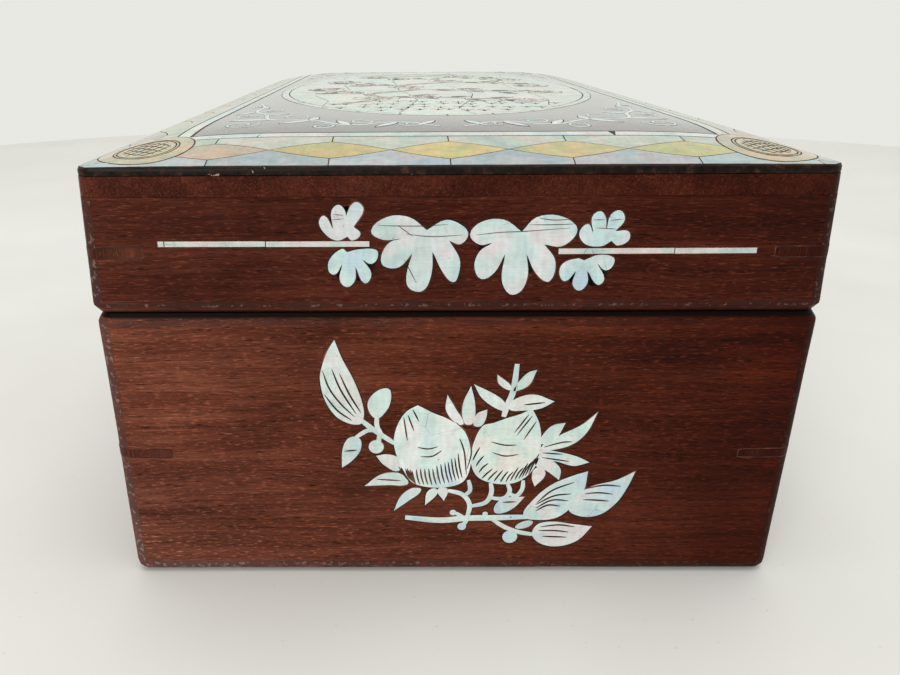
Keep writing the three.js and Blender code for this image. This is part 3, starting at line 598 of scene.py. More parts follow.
class Inlay:
    """The shell of one drawing, the dark filler round it and its engraved lines, laid on a surface."""

    def __init__(self, place, cell=0.0, tint=(0.66, 0.71, 0.69), spread=0.05):
        self.place = place
        self.cell = cell
        self.tint = tint
        self.spread = spread
        self.top = SHELL_TOP
        self.plates = Shape()
        self.seams = Shape()
        self.lines = Shape()
        self.count = 0

    def lay(self, shape, points, faces, tint=None):
        placed = [self.place(*point) for point in points]
        shape.add(placed, faces, tint=tint)

    def lift(self):
        """A tiny height of its own for each plate, so that no two tops lie in one plane."""
        self.count += 1
        return self.count % 12 * 0.0012

    def color(self, tint):
        level = 1 + rng.uniform(-1, 1) * self.spread
        mixed = [min(c * level * (1 + rng.uniform(-0.4, 0.4) * self.spread), 1.0) for c in tint or self.tint]
        return (*mixed, rng.random())

    def plate(self, outline, tint=None, seam=SEAM_WIDTH, soft=0.05):
        outline = tidy_outline(outline)
        high = self.top + self.lift()
        self.lay(self.plates, *slab(outline, SHELL_DEPTH, high, soft, self.cell), tint=self.color(tint))
        if seam:
            self.lay(self.seams, *slab(offset(outline, seam), SHELL_DEPTH, high - SEAM_DROP, 0, self.cell))

    def stem(self, points, width, tint=None, seam=0.12, taper=0.25):
        line = smooth(points, 6, closed=False)
        high = self.top + self.lift()
        self.lay(self.plates, *ribbon(line, width, SHELL_DEPTH, high, taper), tint=self.color(tint))
        self.lay(self.seams, *ribbon(line, width + 2 * seam, SHELL_DEPTH, high - SEAM_DROP, taper))

    def engrave(self, points, width=0.3, closed=False):
        line = smooth(points, 5, closed=False) if len(points) > 2 else spaced(points)
        high = self.top + 0.022 + self.lift() * 0.3
        self.lay(self.lines, *ribbon(line, width, 0.0, high, 0.0 if closed else 0.7))

    def build(self, name, body, slot, material, replaced):
        self.plates.build(name + "_shell", body, [material], slot, replaced, sharp=30)
        if self.seams.points:
            self.seams.build(name + "_seams", body, [MASTIC], "lacquer")
        if self.lines.points:
            self.lines.build(name + "_engraving", body, [MASTIC], "lacquer")


def spaced(points, step=1.0):
    """The line from the first point to the last, with points along it."""
    a, b = points[0], points[-1]
    count = max(2, math.ceil(math.dist(a, b) / step))
    return [(a[0] + (b[0] - a[0]) * i / count, a[1] + (b[1] - a[1]) * i / count) for i in range(count + 1)]


# ---------------------------------------------------------------- the surfaces that pieces lie on

# For each face: the direction to its right as seen from outside, and the direction out of it.
FACES = {
    "near": ((1, 0), (0, -1)),
    "far": ((-1, 0), (0, 1)),
    "left": ((0, -1), (-1, 0)),
    "right": ((0, 1), (1, 0)),
}


def upright_face(face, half=BODY_HALF, shift=0.0, base=0.0):
    (right_x, right_y), (out_x, out_y) = FACES[face]

    def place(u, v, h):
        x = right_x * u + out_x * (half[0] + h)
        y = right_y * u + out_y * (half[1] + h)
        return Vector((x + shift, y, base + v))

    return place


def lid_face(face):
    (right_x, right_y), (out_x, out_y) = FACES[face]

    def place(u, v, h):
        out = h - v * LEAN
        x = right_x * u + out_x * (LID_HALF[0] + out)
        y = right_y * u + out_y * (LID_HALF[1] + out)
        return Vector((x + LID_SHIFT, y, LID_BASE + v + h * LEAN))

    return place


def drawn(place, shift, rise):
    """The same surface, for a drawing that has its own origin on it."""
    return lambda u, v, h: place(u + shift, v + rise, h)


def crown(distance):
    part = min(max(distance, 0.0), CROWN_REACH) / CROWN_REACH
    return 1 - (1 - part) ** CROWN_POWER


def lid_height(x, y):
    return EDGE_HEIGHT + CROWN * crown(EDGE_HALF[0] - abs(x)) * crown(EDGE_HALF[1] - abs(y))


def on_lid(x, y, h):
    return Vector((x + LID_SHIFT, y, LID_BASE + lid_height(x, y) + h))


def half_along(face, half):
    return half[0] if face in ("near", "far") else half[1]


def half_out(face, half):
    return half[1] if face in ("near", "far") else half[0]


def border_place(face):
    """A surface of the lid's border: s along the side and d in from its edge."""
    (right_x, right_y), (out_x, out_y) = FACES[face]
    reach = half_out(face, EDGE_HALF)

    def place(s, d, h):
        return on_lid(right_x * s + out_x * (reach - d), right_y * s + out_y * (reach - d), h)

    return place


# ---------------------------------------------------------------- wooden parts


def wave(point, size, depth):
    """A slow random inward dent, from 0 to depth."""
    return depth * max(0.0, noise.noise(Vector(point) / size))


def mitred_side(name, face, half, profile, place, body, materials, slot, inner_from):
    """One side of a frame with mitred ends.

    The profile runs round the section as (inset, height, corner radius, worn-edge and shade value). Its
    points from inner_from on are inside the box. A value above 0 makes the arris look worn; a value below 0
    is painted shade, mixed towards near-black, along the joint between lid and body.
    """
    reach = half_along(face, half) - GLUE_LINE
    start = Vector((rng.uniform(0, 400), rng.uniform(0, 400), rng.uniform(0, 400)))
    ends = [(math.sin(math.radians(turn)), 1 - math.cos(math.radians(turn))) for turn in (45, 34, 22, 11)]
    cells = int(reach / 3.5)
    points = []
    grains = []
    wear_and_shade_values = []
    for inset, height, radius, wear in profile:
        straight = reach - inset - radius
        bends = [(straight + radius * along, inset + radius * back, 1.0) for along, back in ends]
        stations = [(-u, d, corner) for u, d, corner in bends]
        stations += [(straight * (2 * k / cells - 1), inset, 0.0) for k in range(cells + 1)]
        stations += bends[::-1]
        for u, d, corner in stations:
            arris = max(wear, corner if radius else 0.0)
            dent = wave((u * 1.7 + start.x, height * 1.7, start.y), 2.6, 0.16) * arris
            points.append(place(u, height, -d - dent))
            wear_and_shade_values.append(arris if wear >= 0 else wear)
            grains.append(start + Vector((u, height, d)))
    count = len(points) // len(profile)
    firsts = list(range(0, len(points), count))
    faces = bridge(count, len(profile), closed_rings=False, closed_across=True)
    caps = [firsts, [first + count - 1 for first in reversed(firsts)]]
    shape = Shape()
    shape.add(points, faces + caps, grains, wear_and_shade_values)
    shape.second = [i // (count - 1) >= inner_from for i in range(len(faces))] + [False, False]
    shape.build(name, body, materials, slot, (name,), merge=True)


def foot_arc():
    arc = []
    for turn in (0, 22.5, 45, 67.5, 90):
        angle = math.radians(turn)
        radius = 1.0 + 1.5 * turn / 90
        arc.append((FOOT_RADIUS * (1 - math.sin(angle)), FOOT_RADIUS * (1 - math.cos(angle)), radius, 1.0))
    return arc


def make_body():
    top = BODY_TOP
    arris = top - CHAMFER_HEIGHT
    radius = CORNER_RADIUS
    outer = foot_arc()
    outer += [(0, height, radius, wear) for height, wear in ((3.4, 0.25), (6, 0), (16, 0), (28, 0), (40, 0))]
    outer += [(0, arris - 0.9, radius, 0.3), (0.02, arris - 0.2, radius, 1.0)]
    outer.append((0.17, arris + 0.15, 2.4, 0.2))
    # The top chamfer by the joint takes -1 in the last column: painted shade, near-black, where the gap
    # under the lid is in shadow.
    outer += [(JOINT_INSET * 0.5, (arris + top) / 2, 2.2, -1), (JOINT_INSET - 0.12, top - 0.1, 1.9, -1)]
    outer += [(JOINT_INSET + 0.2, top, 1.8, -1)]
    inner = [(WALL - 0.3, top, 0, 0.5), (WALL, top - 0.3, 0, 0.5), (WALL, top / 2, 0, 0)]
    shelf = BOARD_TOP + 0.1
    slot = WALL - REBATE - 0.1
    inner += [(WALL, shelf, 0, 0), (slot, shelf, 0, 0), (slot, 0, 0, 0)]
    woods = [BODY_WOOD, INNER_WOOD]
    for face in FACES:
        name = f"body_{face}_end" if face in ("near", "far") else f"body_{face}_side"
        place = upright_face(face)
        mitred_side(name, face, BODY_HALF, outer + inner, place, "body", woods, "body_wood", len(outer))
    make_bottom()


def make_bottom():
    """The bottom board, let into the sides, with its edges eased."""
    half = [side - WALL + REBATE for side in BODY_HALF]
    shape = Shape()
    ease = 0.4
    rings = [(ease, 0.0), (0.0, ease), (0.0, BOARD_TOP - ease), (ease, BOARD_TOP)]
    points = [Vector((x, y, z)) for inset, z in rings for x, y in ring_line(half, inset, 1.0, (12, 24))]
    count = len(points) // len(rings)
    faces = bridge(count, len(rings))
    faces.append(list(range(count))[::-1])
    faces.append(list(range(len(points) - count, len(points))))
    shape.add(points, faces, [Vector((p.y + 51, p.x, p.z)) for p in points])
    shape.second = [face[0] >= len(points) - count for face in shape.faces]
    woods = [BODY_WOOD, INNER_WOOD]
    shape.build("body_bottom_board_face", "body", woods, "body_wood", ("body_bottom_board",))


def ring_line(half, inset, radius, cells):
    """A rounded rectangle, anticlockwise, with as many points at every inset and radius.

    cells says how many parts its sides have along X and along Y.
    """
    hx, hy = half[0] - inset - radius, half[1] - inset - radius
    corners = ((1, -1, -90), (1, 1, 0), (-1, 1, 90), (-1, -1, 180))
    line = []
    for k, (sign_x, sign_y, start) in enumerate(corners):
        for step in (1, 2, 3):
            angle = math.radians(start + step * 22.5)
            line.append((sign_x * hx + radius * math.cos(angle), sign_y * hy + radius * math.sin(angle)))
        turn = 1 if k < 2 else -1
        count = cells[(k + 1) % 2]
        for step in range(count + 1):
            part = (1 - 2 * step / count) * turn
            line.append((hx * part, turn * (hy + radius)) if k % 2 else (turn * (hx + radius), -hy * part))
    return line


def make_lid_rails():
    """The lid's sides, which lean in, with the groove of the joint along their lower edges."""
    groove = LID_HALF[0] - BODY_HALF[0] + JOINT_INSET
    heights = (
        (CHAMFER_HEIGHT - 0.1, 0.03, 1.0), (CHAMFER_HEIGHT + 0.25, 0, 1.0), (2.4, 0, 0.3), (6, 0, 0),
        (12, 0, 0), (RAIL_HEIGHT - 0.4, 0, 0.1), (RAIL_HEIGHT, 0, 0.1),
    )
    # The groove's two points take -1 in the last column: painted shade, near-black, along the joint under
    # the lid's edge.
    outer = [(groove + 0.2, 0, 1.8, -1), (groove - 0.12, 0.1, 1.9, -1)]
    outer += [(inset + height * LEAN, height, CORNER_RADIUS, wear) for height, inset, wear in heights]
    inner = [(LID_WALL, RAIL_HEIGHT, 0, 0), (LID_WALL, 0.3, 0, 0.4), (LID_WALL - 0.3, 0, 0, 0.4)]
    woods = [LID_WOOD, INNER_WOOD]
    for face in FACES:
        name = f"lid_{face}_rail"
        place = upright_face(face, LID_HALF, LID_SHIFT, LID_BASE)
        mitred_side(name, face, LID_HALF, outer + inner, place, "lid", woods, "lid_wood", len(outer))


CELLS = (28, 60)


def lid_ring(inset, radius, height):
    """A ring of the lid's top; its height is one number, or a function of x and y."""
    line = ring_line(EDGE_HALF, inset, radius, CELLS)
    level = height if callable(height) else lambda x, y: height
    return [Vector((x + LID_SHIFT, y, LID_BASE + level(x, y))) for x, y in line]


def make_lid_top():
    """The board glued on the rails: its sides, the shelf for the bed, and the field inside the border."""
    low = RAIL_HEIGHT + 0.05
    edge = BORDER + 0.02
    shelf = BED_THICKNESS + 0.05
    # The rings' insets count from the edge at its top, so lower points lie outside it.
    heights = (low, low + 1.2, EDGE_HEIGHT - shelf)
    rings = [lid_ring(0.02 - LEAN * (EDGE_HEIGHT - z), CORNER_RADIUS, z) for z in heights]
    rings.append(lid_ring(edge, 0.0, lambda x, y: lid_height(x, y) - shelf))
    rings.append(lid_ring(edge, 0.0, lid_height))
    count = len(rings[0])
    points = [point for ring in rings for point in ring]
    shape = Shape()
    faces = [*bridge(count, len(rings)), list(range(count))[::-1]]
    shape.add(points, faces, [Vector((p.y + 31, p.x, p.z)) for p in points])
    half = [side - edge for side in EDGE_HALF]
    grid = [
        on_lid(half[0] * (2 * i / CELLS[0] - 1), half[1] * (2 * j / CELLS[1] - 1), 0)
        for j in range(CELLS[1] + 1)
        for i in range(CELLS[0] + 1)
    ]
    cells = bridge(CELLS[0] + 1, CELLS[1] + 1, closed_rings=False)
    shape.add(grid, cells, [Vector((p.y, p.x, p.z)) for p in grid], second=True)
    shape.build("lid_board", "lid", [LID_WOOD, FIELD_WOOD], "lid_wood", ("lid_top_board",), merge=True)
    make_bed()


def make_bed():
    """The black bed round the field, with a softened outer arris."""
    shelf = BED_THICKNESS - 0.02
    soft = 0.4

    def sunk(inset, radius, depth):
        return lid_ring(inset, radius, lambda x, y: lid_height(x, y) - depth)

    sides = ((0.06, shelf), (0.0, shelf - 0.1), (0.0, soft), (0.12, 0.12))
    rings = [sunk(BORDER, 0.0, shelf)]
    rings += [sunk(inset, CORNER_RADIUS, depth) for inset, depth in sides]
    insets = (soft, 1.5, 3, 5, 7.5, 10, 12, BORDER)
    rings += [sunk(inset, max(CORNER_RADIUS - inset, 0.0), 0) for inset in insets]
    shape = Shape()
    faces = bridge(len(rings[0]), len(rings), closed_across=True)
    shape.add([point for ring in rings for point in ring], faces)
    shape.build("lid_bed", "lid", [LACQUER], "lacquer", ("lid_border_bed",), merge=True)


def key_strip(shape, place, sign, steps, reach, height, tilt, grow, top):
    """The part of a corner key that shows on one face."""
    rows = []
    for k, (along, back) in enumerate(steps):
        along = along - grow if k == 0 else along
        middle = height + (along - reach) * tilt
        thick = KEY_THICKNESS / 2 * (0.82 if k == 0 else 1) + grow
        spots = ((-thick, -0.6), (-thick, top), (thick, top), (thick, -0.6))
        rows.append([place(sign * along, middle + dz, h - back) for dz, h in spots])
    points = [point for row in rows for point in row]
    faces = bridge(4, len(rows)) + [[3, 2, 1, 0], [len(points) - 4 + k for k in range(4)]]
    shape.add(points, faces, [Vector((p.z, p.x * 2, p.y * 2)) for p in points])


def make_keys():
    """Thin keys let across the corners, each showing as a strip that runs round its corner."""
    sets = [
        ("body", upright_face, BODY_HALF, BODY_KEY_HEIGHT, 0.0),
        ("lid", lid_face, LID_HALF, LID_KEY_HEIGHT, LID_KEY_HEIGHT * LEAN),
    ]
    corners = {
        "near_left": ("left", "near"),
        "near_right": ("near", "right"),
        "far_right": ("right", "far"),
        "far_left": ("far", "left"),
    }
    for group, faces_of, half, height, lean_in in sets:
        for corner, pair in corners.items():
            key, seam = Shape(), Shape()
            for face, sign in zip(pair, (1, -1)):
                reach = half_along(face, half) - lean_in
                leg = KEY_LEG - rng.uniform(0, 0.8)
                tilt = rng.uniform(-0.02, 0.02)
                steps = [(reach - leg + (leg - CORNER_RADIUS) * k / 6, 0.0) for k in range(7)]
                for turn in (11.25, 22.5, 33.75, 45):
                    angle = math.radians(turn)
                    along = reach - CORNER_RADIUS * (1 - math.sin(angle))
                    steps.append((along, CORNER_RADIUS * (1 - math.cos(angle))))
                key_strip(key, faces_of(face), sign, steps, reach, height, tilt, 0.0, 0.015)
                key_strip(seam, faces_of(face), sign, steps, reach, height, tilt, 0.13, 0.004)
            node = f"{group}_key_{corner}"
            key.build(node + "_face", group, [KEY_WOOD], "key_wood", (node,), sharp=40)
            seam.build(node + "_seam", group, [MASTIC], "key_wood", sharp=40)


# ---------------------------------------------------------------- drawings in shell

# Outlines as (u, v), with a third value at a sharp corner.
BIG_LEAF = [
    (-19.3, 44.4, 1), (-20.5, 42.4), (-21.4, 40), (-21.9, 37.5), (-21.2, 33.6), (-19.6, 30.8),
    (-17.9, 29.6), (-16.4, 29.2), (-15.3, 29.5), (-14.9, 32), (-16.2, 36.8), (-18.1, 41),
]
BUD_LEAF = [
    (-12.8, 30.3), (-13.9, 31.2), (-14.3, 33.2), (-13.2, 35), (-11.4, 35.9), (-10.5, 35.4),
    (-10.6, 33), (-11.6, 31.2),
]
HANGING_LEAF = [
    (-18.9, 20.9, 1), (-18.7, 24.4), (-17.8, 26.5), (-16.4, 27), (-15.5, 26.2), (-15.7, 24.2),
    (-17.2, 22.2),
]
LEFT_FRUIT = [
    (-6.1, 32.8, 1), (-8, 31.6), (-9.5, 29), (-10.1, 26), (-9.6, 23.2), (-8.4, 20.2), (-6.8, 17.9),
    (-3.7, 17), (-0.3, 17.2), (2, 18.5), (3, 22.4), (2.8, 25.8), (1.4, 28.4), (-1, 30.2), (-3.6, 31.4),
]
RIGHT_FRUIT = [
    (12.6, 32.2, 1), (10.9, 31.2), (8.6, 30.4), (6.4, 29.5), (4.6, 28.9), (3.3, 26), (2.8, 22.4),
    (4.2, 19), (8.2, 17.6), (11.7, 18.5), (14, 21.6), (14.5, 25.4), (14, 29.2),
]
CALYX_LEAVES = [
    [(-13.1, 23.3, 1), (-11.8, 21.5), (-9.3, 20.3), (-9, 22.6), (-11, 23.6)],
    [(-15.2, 17.3, 1), (-12.4, 19.6), (-9.6, 20), (-8, 19), (-7.8, 17.6), (-11, 17.5)],
    [(-10.2, 12.2, 1), (-9, 15.2), (-7, 16.9), (-5.4, 16.5), (-7.6, 14.3)],
    [(-4.8, 13.3, 1), (-4.5, 16), (-3.1, 16.9), (-2.6, 15.8)],
    [(-1.5, 14.2, 1), (-2.7, 16.6), (-0.9, 16.7)],
    [(-1.3, 34.7, 1), (-1.5, 31.8), (0.4, 29.2), (1.5, 29.4), (0.2, 32)],
    [(2.5, 36.3, 1), (1.2, 32.8), (1.6, 29.4), (3, 29.4), (3.3, 32.8)],
    [(5.3, 32, 1), (3.6, 31.2), (3.1, 29.1), (4.4, 28.9), (5.2, 30.6)],
    [(2.9, 36.6, 1), (4.3, 34), (6.9, 32), (8.4, 31.9), (7.4, 34)],
    [(6.6, 38.3, 1), (6.9, 36.6), (8.8, 35.4), (8.9, 36.3)],
    [(13, 39.1, 1), (11.4, 38.5), (9.5, 36), (9.4, 35.2), (11.8, 36.3)],
    [(16.2, 33.4, 1), (12.6, 34.7), (9.3, 33.6), (8.8, 32), (11, 31.7), (14, 32.1)],
    [(18.3, 29.5, 1), (16, 28.9), (14.3, 26.6), (14.3, 25.4), (16.8, 26.4)],
    [(23.4, 31.5, 1), (20.9, 29.1), (17.2, 27), (14.4, 24.7), (16.2, 24.3), (19.6, 25.3), (21.9, 27.6)],
    [(22.9, 21.9, 1), (20.6, 23.1), (17.4, 24), (14.2, 24.3), (13.9, 22.4), (17.2, 22.1), (20.2, 21.2)],
    [(18, 18.4, 1), (18.1, 20.6), (16.4, 22.4), (14, 22.8), (13.8, 21.3), (15.8, 20.2)],
    [(13.9, 17.1, 1), (15.6, 19.4), (14.9, 21), (13.6, 20.6), (13.3, 18.9)],
]
BRANCH_LEAVES = [
    [(12.4, 15.1, 1), (9.4, 15), (7.6, 13.9), (7.2, 12), (8.6, 11.7), (10.6, 12.8)],
    [
        (22.8, 20.2, 1), (20, 19.2), (16.6, 17.4), (13.9, 14.6), (12.3, 11.2), (15, 10.3),
        (18.2, 10.8), (20.6, 13), (22.4, 16.2),
    ],
    [
        (30.8, 20.2, 1), (27.6, 18.4), (23.9, 17.3), (21.6, 15.7), (20, 12.6), (22.4, 11),
        (25.6, 11.4), (28.2, 13.8), (29.8, 17),
    ],
    [(24.5, 9, 1), (21, 9.5), (17.6, 10), (14.9, 9.4), (14.1, 7.2), (15.7, 5.3), (18.8, 4.7), (22.2, 6)],
    [(11.1, 8.6), (11.9, 9.8), (14, 10.1), (13.4, 8.9)],
]
BROAD_LEAVES = [
    [
        (-12.4, 13.1), (-9.9, 15.2), (-6.6, 15.1), (-4.1, 13.2, 1), (-1.3, 14.7), (1.1, 13.9),
        (2.1, 12.5), (1, 11), (-0.7, 11.5, 1), (0.9, 8.8), (0.8, 6.4), (0, 5.1), (-1.6, 6.6),
        (-3.2, 9.9, 1), (-3.2, 7.2), (-3.9, 4.6), (-5.1, 3.6), (-6.9, 4.4), (-7.1, 6.6),
        (-6.2, 9.7, 1), (-8.2, 7.5), (-10.6, 7.7), (-10.9, 9.4), (-9.6, 11.4), (-7.9, 11.9, 1),
        (-10.6, 11.7),
    ],
    [
        (2.3, 12.5), (4, 14.4), (7.3, 14.7), (10, 12.9, 1), (12, 15), (15.2, 15.3), (18, 13.8),
        (18, 12.2), (16, 10.6), (13.5, 10.9, 1), (15.2, 8.7), (15.2, 6.2), (14.2, 5.1), (12.2, 6.8),
        (10.9, 9.5, 1), (11.3, 6.4), (10.4, 3.7), (8.6, 3.2), (7.3, 5.6), (7.7, 9.5, 1), (6.2, 6.6),
        (4.2, 5.6), (3.1, 7.6), (3.8, 9.9), (5.7, 11.2, 1), (3.8, 10.9),
    ],
]
FANS = [
    [
        (-20.1, 14.3), (-19.2, 15.4), (-18, 13.4, 1), (-18.2, 16), (-17, 17), (-16, 15.6),
        (-16.6, 13.3, 1), (-15.6, 16.4), (-14.4, 17.4), (-13.4, 16.2), (-14.9, 13.7, 1), (-13.9, 12.6),
        (-15.2, 11.6), (-15.9, 12.2, 1), (-17.4, 11.6), (-19, 12.4),
    ],
    [
        (-18.9, 6.9), (-18.7, 8.8), (-16.8, 10.4), (-16, 9.9, 1), (-14.4, 10.3), (-11.6, 10.2),
        (-11.5, 8.8), (-12.5, 8), (-13.7, 8.7, 1), (-12.4, 6.5), (-13.5, 5), (-14.8, 7.6, 1),
        (-14.9, 5.5), (-16.2, 4.4), (-17.3, 5.6), (-16.8, 8, 1), (-17.9, 6.4),
    ],
    [
        (18.5, 12.6), (19.7, 14), (20.6, 12.6, 1), (20.2, 15), (21.4, 15.9), (22.3, 14.9),
        (22.5, 13.1, 1), (22.9, 15.3), (24.3, 16), (25.1, 14.6), (23.9, 12.9, 1), (25.8, 12.9),
        (26, 11.5), (24.4, 10.7), (23.4, 11.4, 1), (22, 10.6), (19.6, 10.9),
    ],
    [
        (16, 6.3), (16.4, 8), (18.6, 8.8), (19.6, 8.5, 1), (21.6, 9.3), (24, 8.9), (23.9, 7.4),
        (22.8, 6.9), (21.6, 8, 1), (22.9, 5.6), (21.9, 4.6), (20.2, 6.9, 1), (20.4, 4.9), (19.2, 3.7),
        (18.1, 4.8), (18.5, 6.8, 1), (17, 5.2),
    ],
]

# Stems as a width and a line, buds as a centre and a radius.
FRUIT_STEMS = [
    (0.9, [(-15.6, 30.2), (-13.2, 28.1), (-9.6, 25.4)]),
    (0.8, [(-12.8, 31), (-12.8, 28.9), (-12.1, 27.4)]),
    (0.75, [(-16.4, 26.8), (-14.4, 28.1), (-13.2, 28.1)]),
    (0.8, [(-12.3, 27.7), (-12.7, 25.4)]),
    (1.0, [(8, 30.6), (8.4, 32.4), (9.3, 35.2), (9.7, 40.1)]),
    (1.15, [(-8.2, 10.9), (-2.1, 10.3), (2.4, 10.7), (7.4, 10.8), (13.4, 11)]),
    (0.85, [(2.6, 10.9), (2.9, 13.6), (1.6, 15.6), (-0.9, 16.4)]),
    (0.75, [(2, 15.4), (2.9, 16.4), (2.6, 18.5)]),
    (0.85, [(3.2, 13.2), (5.7, 14), (6.6, 16), (6.4, 17.9)]),
    (0.8, [(6.5, 14.9), (8.7, 14.8), (9.7, 16.2), (9.3, 17.7)]),
    (0.75, [(9.5, 15.9), (10.8, 15.3), (11.8, 16.6), (11.9, 18.4)]),
    (0.85, [(7, 10.4), (9.3, 8.8), (11.7, 7.8), (14.8, 7.2)]),
    (0.7, [(2, 10.9), (0.2, 12)]),
    (0.8, [(2.6, 10.4), (1.6, 8.8)]),
    (0.7, [(5.4, 10.9), (5.6, 11.7)]),
]
BUDS = [(-13, 25, 1.3), (10.2, 6.8, 1.35), (1.7, 9, 0.8), (0.1, 11.9, 0.6), (5.7, 11.6, 0.5)]

# Engraved lines, and key strokes (u0, v0, u1, v1) of the hatching on the fruits.
FRUIT_LINES = [
    [(0.2, 29.6), (2, 27.6), (2.9, 24.1), (2.3, 20.7)],
    [(0.9, 26.6), (1.7, 24.1), (2.2, 19.6)],
    [(-6.9, 32), (-5.9, 29.8)],
    [(-7.7, 31), (-6.7, 28)],
    [(-8.4, 30.6), (-7.8, 26.2)],
    [(-6.1, 24.9), (-4.3, 24.6), (-2.7, 25)],
    [(-5.6, 23.1), (-3.6, 23.2), (-2, 24.3)],
    [(-9.3, 21.2), (-7.6, 18.3)],
    [(12.7, 30.8), (10.3, 27.1)],
    [(12.1, 31), (9.9, 27.6)],
    [(13.4, 29.7), (11.5, 26.3)],
    [(6.2, 25.9), (8.4, 25.3), (10.4, 25.3)],
    [(6.4, 23.9), (8.6, 23.2), (10.8, 23.5)],
    [(-18.4, 24.2), (-16.2, 24.4)],
    [(-13, 18.7), (-8.9, 18.4)],
    [(14.6, 33.2), (11.2, 32.8)],
    [(8.6, 14), (10.9, 14.1)],
    [(15, 24.9), (18, 25.8), (19.6, 25.9)],
    [(14.8, 23.8), (18.2, 23.5)],
    [(14.8, 22.9), (19.4, 22.1)],
]
LEAF_LINES = [
    [(-21.4, 39), (-20.4, 35.8), (-18.6, 33), (-16.5, 30.7)],
    [(-19.9, 39.3), (-18.6, 35.6), (-16.2, 31.2)],
    [(-18.7, 38.5), (-17.2, 34.8), (-15.4, 31.4)],
    [(-21.3, 34.8), (-19.2, 31.8), (-16.9, 30)],
    [(20.6, 18), (17, 16.4), (14.5, 13.9)],
    [(20.3, 15.7), (17.4, 15.3), (14.3, 13.5)],
    [(19.9, 14.3), (17, 14.4), (14.4, 12.8)],
    [(18.6, 13.2), (16.4, 13.4), (14.4, 12.2)],
    [(28.6, 17.2), (25.6, 17.4), (22.6, 16.7)],
    [(27.4, 15.6), (25, 15.9), (22.6, 15.7)],
    [(26.9, 14.2), (24.8, 14.4), (22.4, 14.5)],
    [(21.4, 8.9), (18.6, 9.3), (15.4, 8.9)],
    [(20.4, 7.8), (18, 8.1), (15.1, 8.1)],
    [(20.2, 6.7), (18, 6.8), (15.9, 6.9)],
]
GARLAND_LINES = [
    [(-11.4, 13.9), (-8, 13.8), (-4.6, 13.8), (-1, 14)],
    [(-7.2, 12.6), (-3.6, 12.2), (1.2, 12.4)],
    [(-8.4, 13.9), (-6.1, 12.2)],
    [(3.2, 12.4), (7, 12.8), (10, 12.9), (17.2, 13.4)],
    [(12.4, 14.9), (14.6, 14.6), (17.4, 14.7)],
    [(11, 13.9), (14.4, 13.9), (17.8, 14)],
    [(-7.4, 8.6), (-5.6, 5)],
    [(-18, 15.6), (-16.4, 15.4)],
    [(-18.1, 14.8), (-16.3, 14.9)],
    [(20.4, 14.6), (22.2, 14.6)],
    [(23, 14.5), (24.9, 14.7)],
    [(21, 13.4), (24.2, 13.2)],
]
LEFT_HATCH = [
    (-8.1, 20.6, -7.3, 18.6), (-7, 20.5, -6.4, 17.7), (-4.2, 20.7, -3.6, 17.5),
    (-1.5, 21.6, -0.7, 17.9), (0.7, 23.5, 1.5, 18.9),
]
RIGHT_HATCH = [
    (4.3, 24.7, 3.2, 22.4), (6.8, 20.4, 5, 18.5), (9.7, 20.2, 8.6, 18), (12.4, 21.5, 11, 18.7),
    (14.3, 23.5, 12.7, 19.6),
]


def circle(u, v, radius, count=16):
    turns = [2 * math.pi * k / count for k in range(count)]
    return [(u + radius * math.cos(turn), v + radius * math.sin(turn)) for turn in turns]


def hatch(inlay, keys, count, width):
    """Short strokes (u0, v0, u1, v1) that change evenly from one key stroke to the next."""
    for k in range(count):
        at = k / (count - 1) * (len(keys) - 1)
        i = min(int(at), len(keys) - 2)
        part = at - i
        u0, v0, u1, v1 = (a + (b - a) * part for a, b in zip(keys[i], keys[i + 1]))
        middle = ((u0 + u1) / 2 - 0.1, (v0 + v1) / 2)
        inlay.engrave([(u0, v0 + rng.uniform(-0.3, 0.3)), middle, (u1, v1)], width)


def fruits(inlay):
    """Two peaches with shading strokes along their lower edges."""
    inlay.plate(smooth(RIGHT_FRUIT), (0.74, 0.78, 0.74))
    inlay.plate(smooth(LEFT_FRUIT), (0.72, 0.78, 0.75))
    hatch(inlay, LEFT_HATCH, 17, 0.34)
    hatch(inlay, RIGHT_HATCH, 14, 0.34)


def fruit_spray(inlay):
    for width, points in FRUIT_STEMS:
        inlay.stem(points, width)
    for outline in (BIG_LEAF, BUD_LEAF, HANGING_LEAF, *CALYX_LEAVES, *BRANCH_LEAVES):
        inlay.plate(smooth(outline))
    for u, v, radius in BUDS:
        inlay.plate(circle(u, v, radius))
    fruits(inlay)
    for line in FRUIT_LINES + LEAF_LINES:
        inlay.engrave(line, 0.32)


def leaf(inlay, base, tip, width, bend=0.0, ribs=1, tint=None):
    """A pointed leaf from its stalk to its tip, with engraved ribs."""
    along = (tip[0] - base[0], tip[1] - base[1])
    length = math.hypot(*along)
    side = (-along[1] / length, along[0] / length)

    def at(t, across):
        across += bend * 4 * t * (1 - t)
        return (base[0] + along[0] * t + side[0] * across, base[1] + along[1] * t + side[1] * across)

    def half(t):
        return width / 2 * math.sin(math.pi * t**0.8) ** 0.85

    steps = 14
    outline = [at(k / steps, -half(k / steps)) for k in range(steps)]
    outline += [at(k / steps, half(k / steps)) for k in range(steps, 0, -1)]
    inlay.plate(outline, tint)
    for rib in range(ribs):
        share = (rib - (ribs - 1) / 2) * 0.62 / max(ribs, 1)
        inlay.engrave([at(t, 2 * share * half(t)) for t in (0.2, 0.4, 0.6, 0.78)], 0.26)


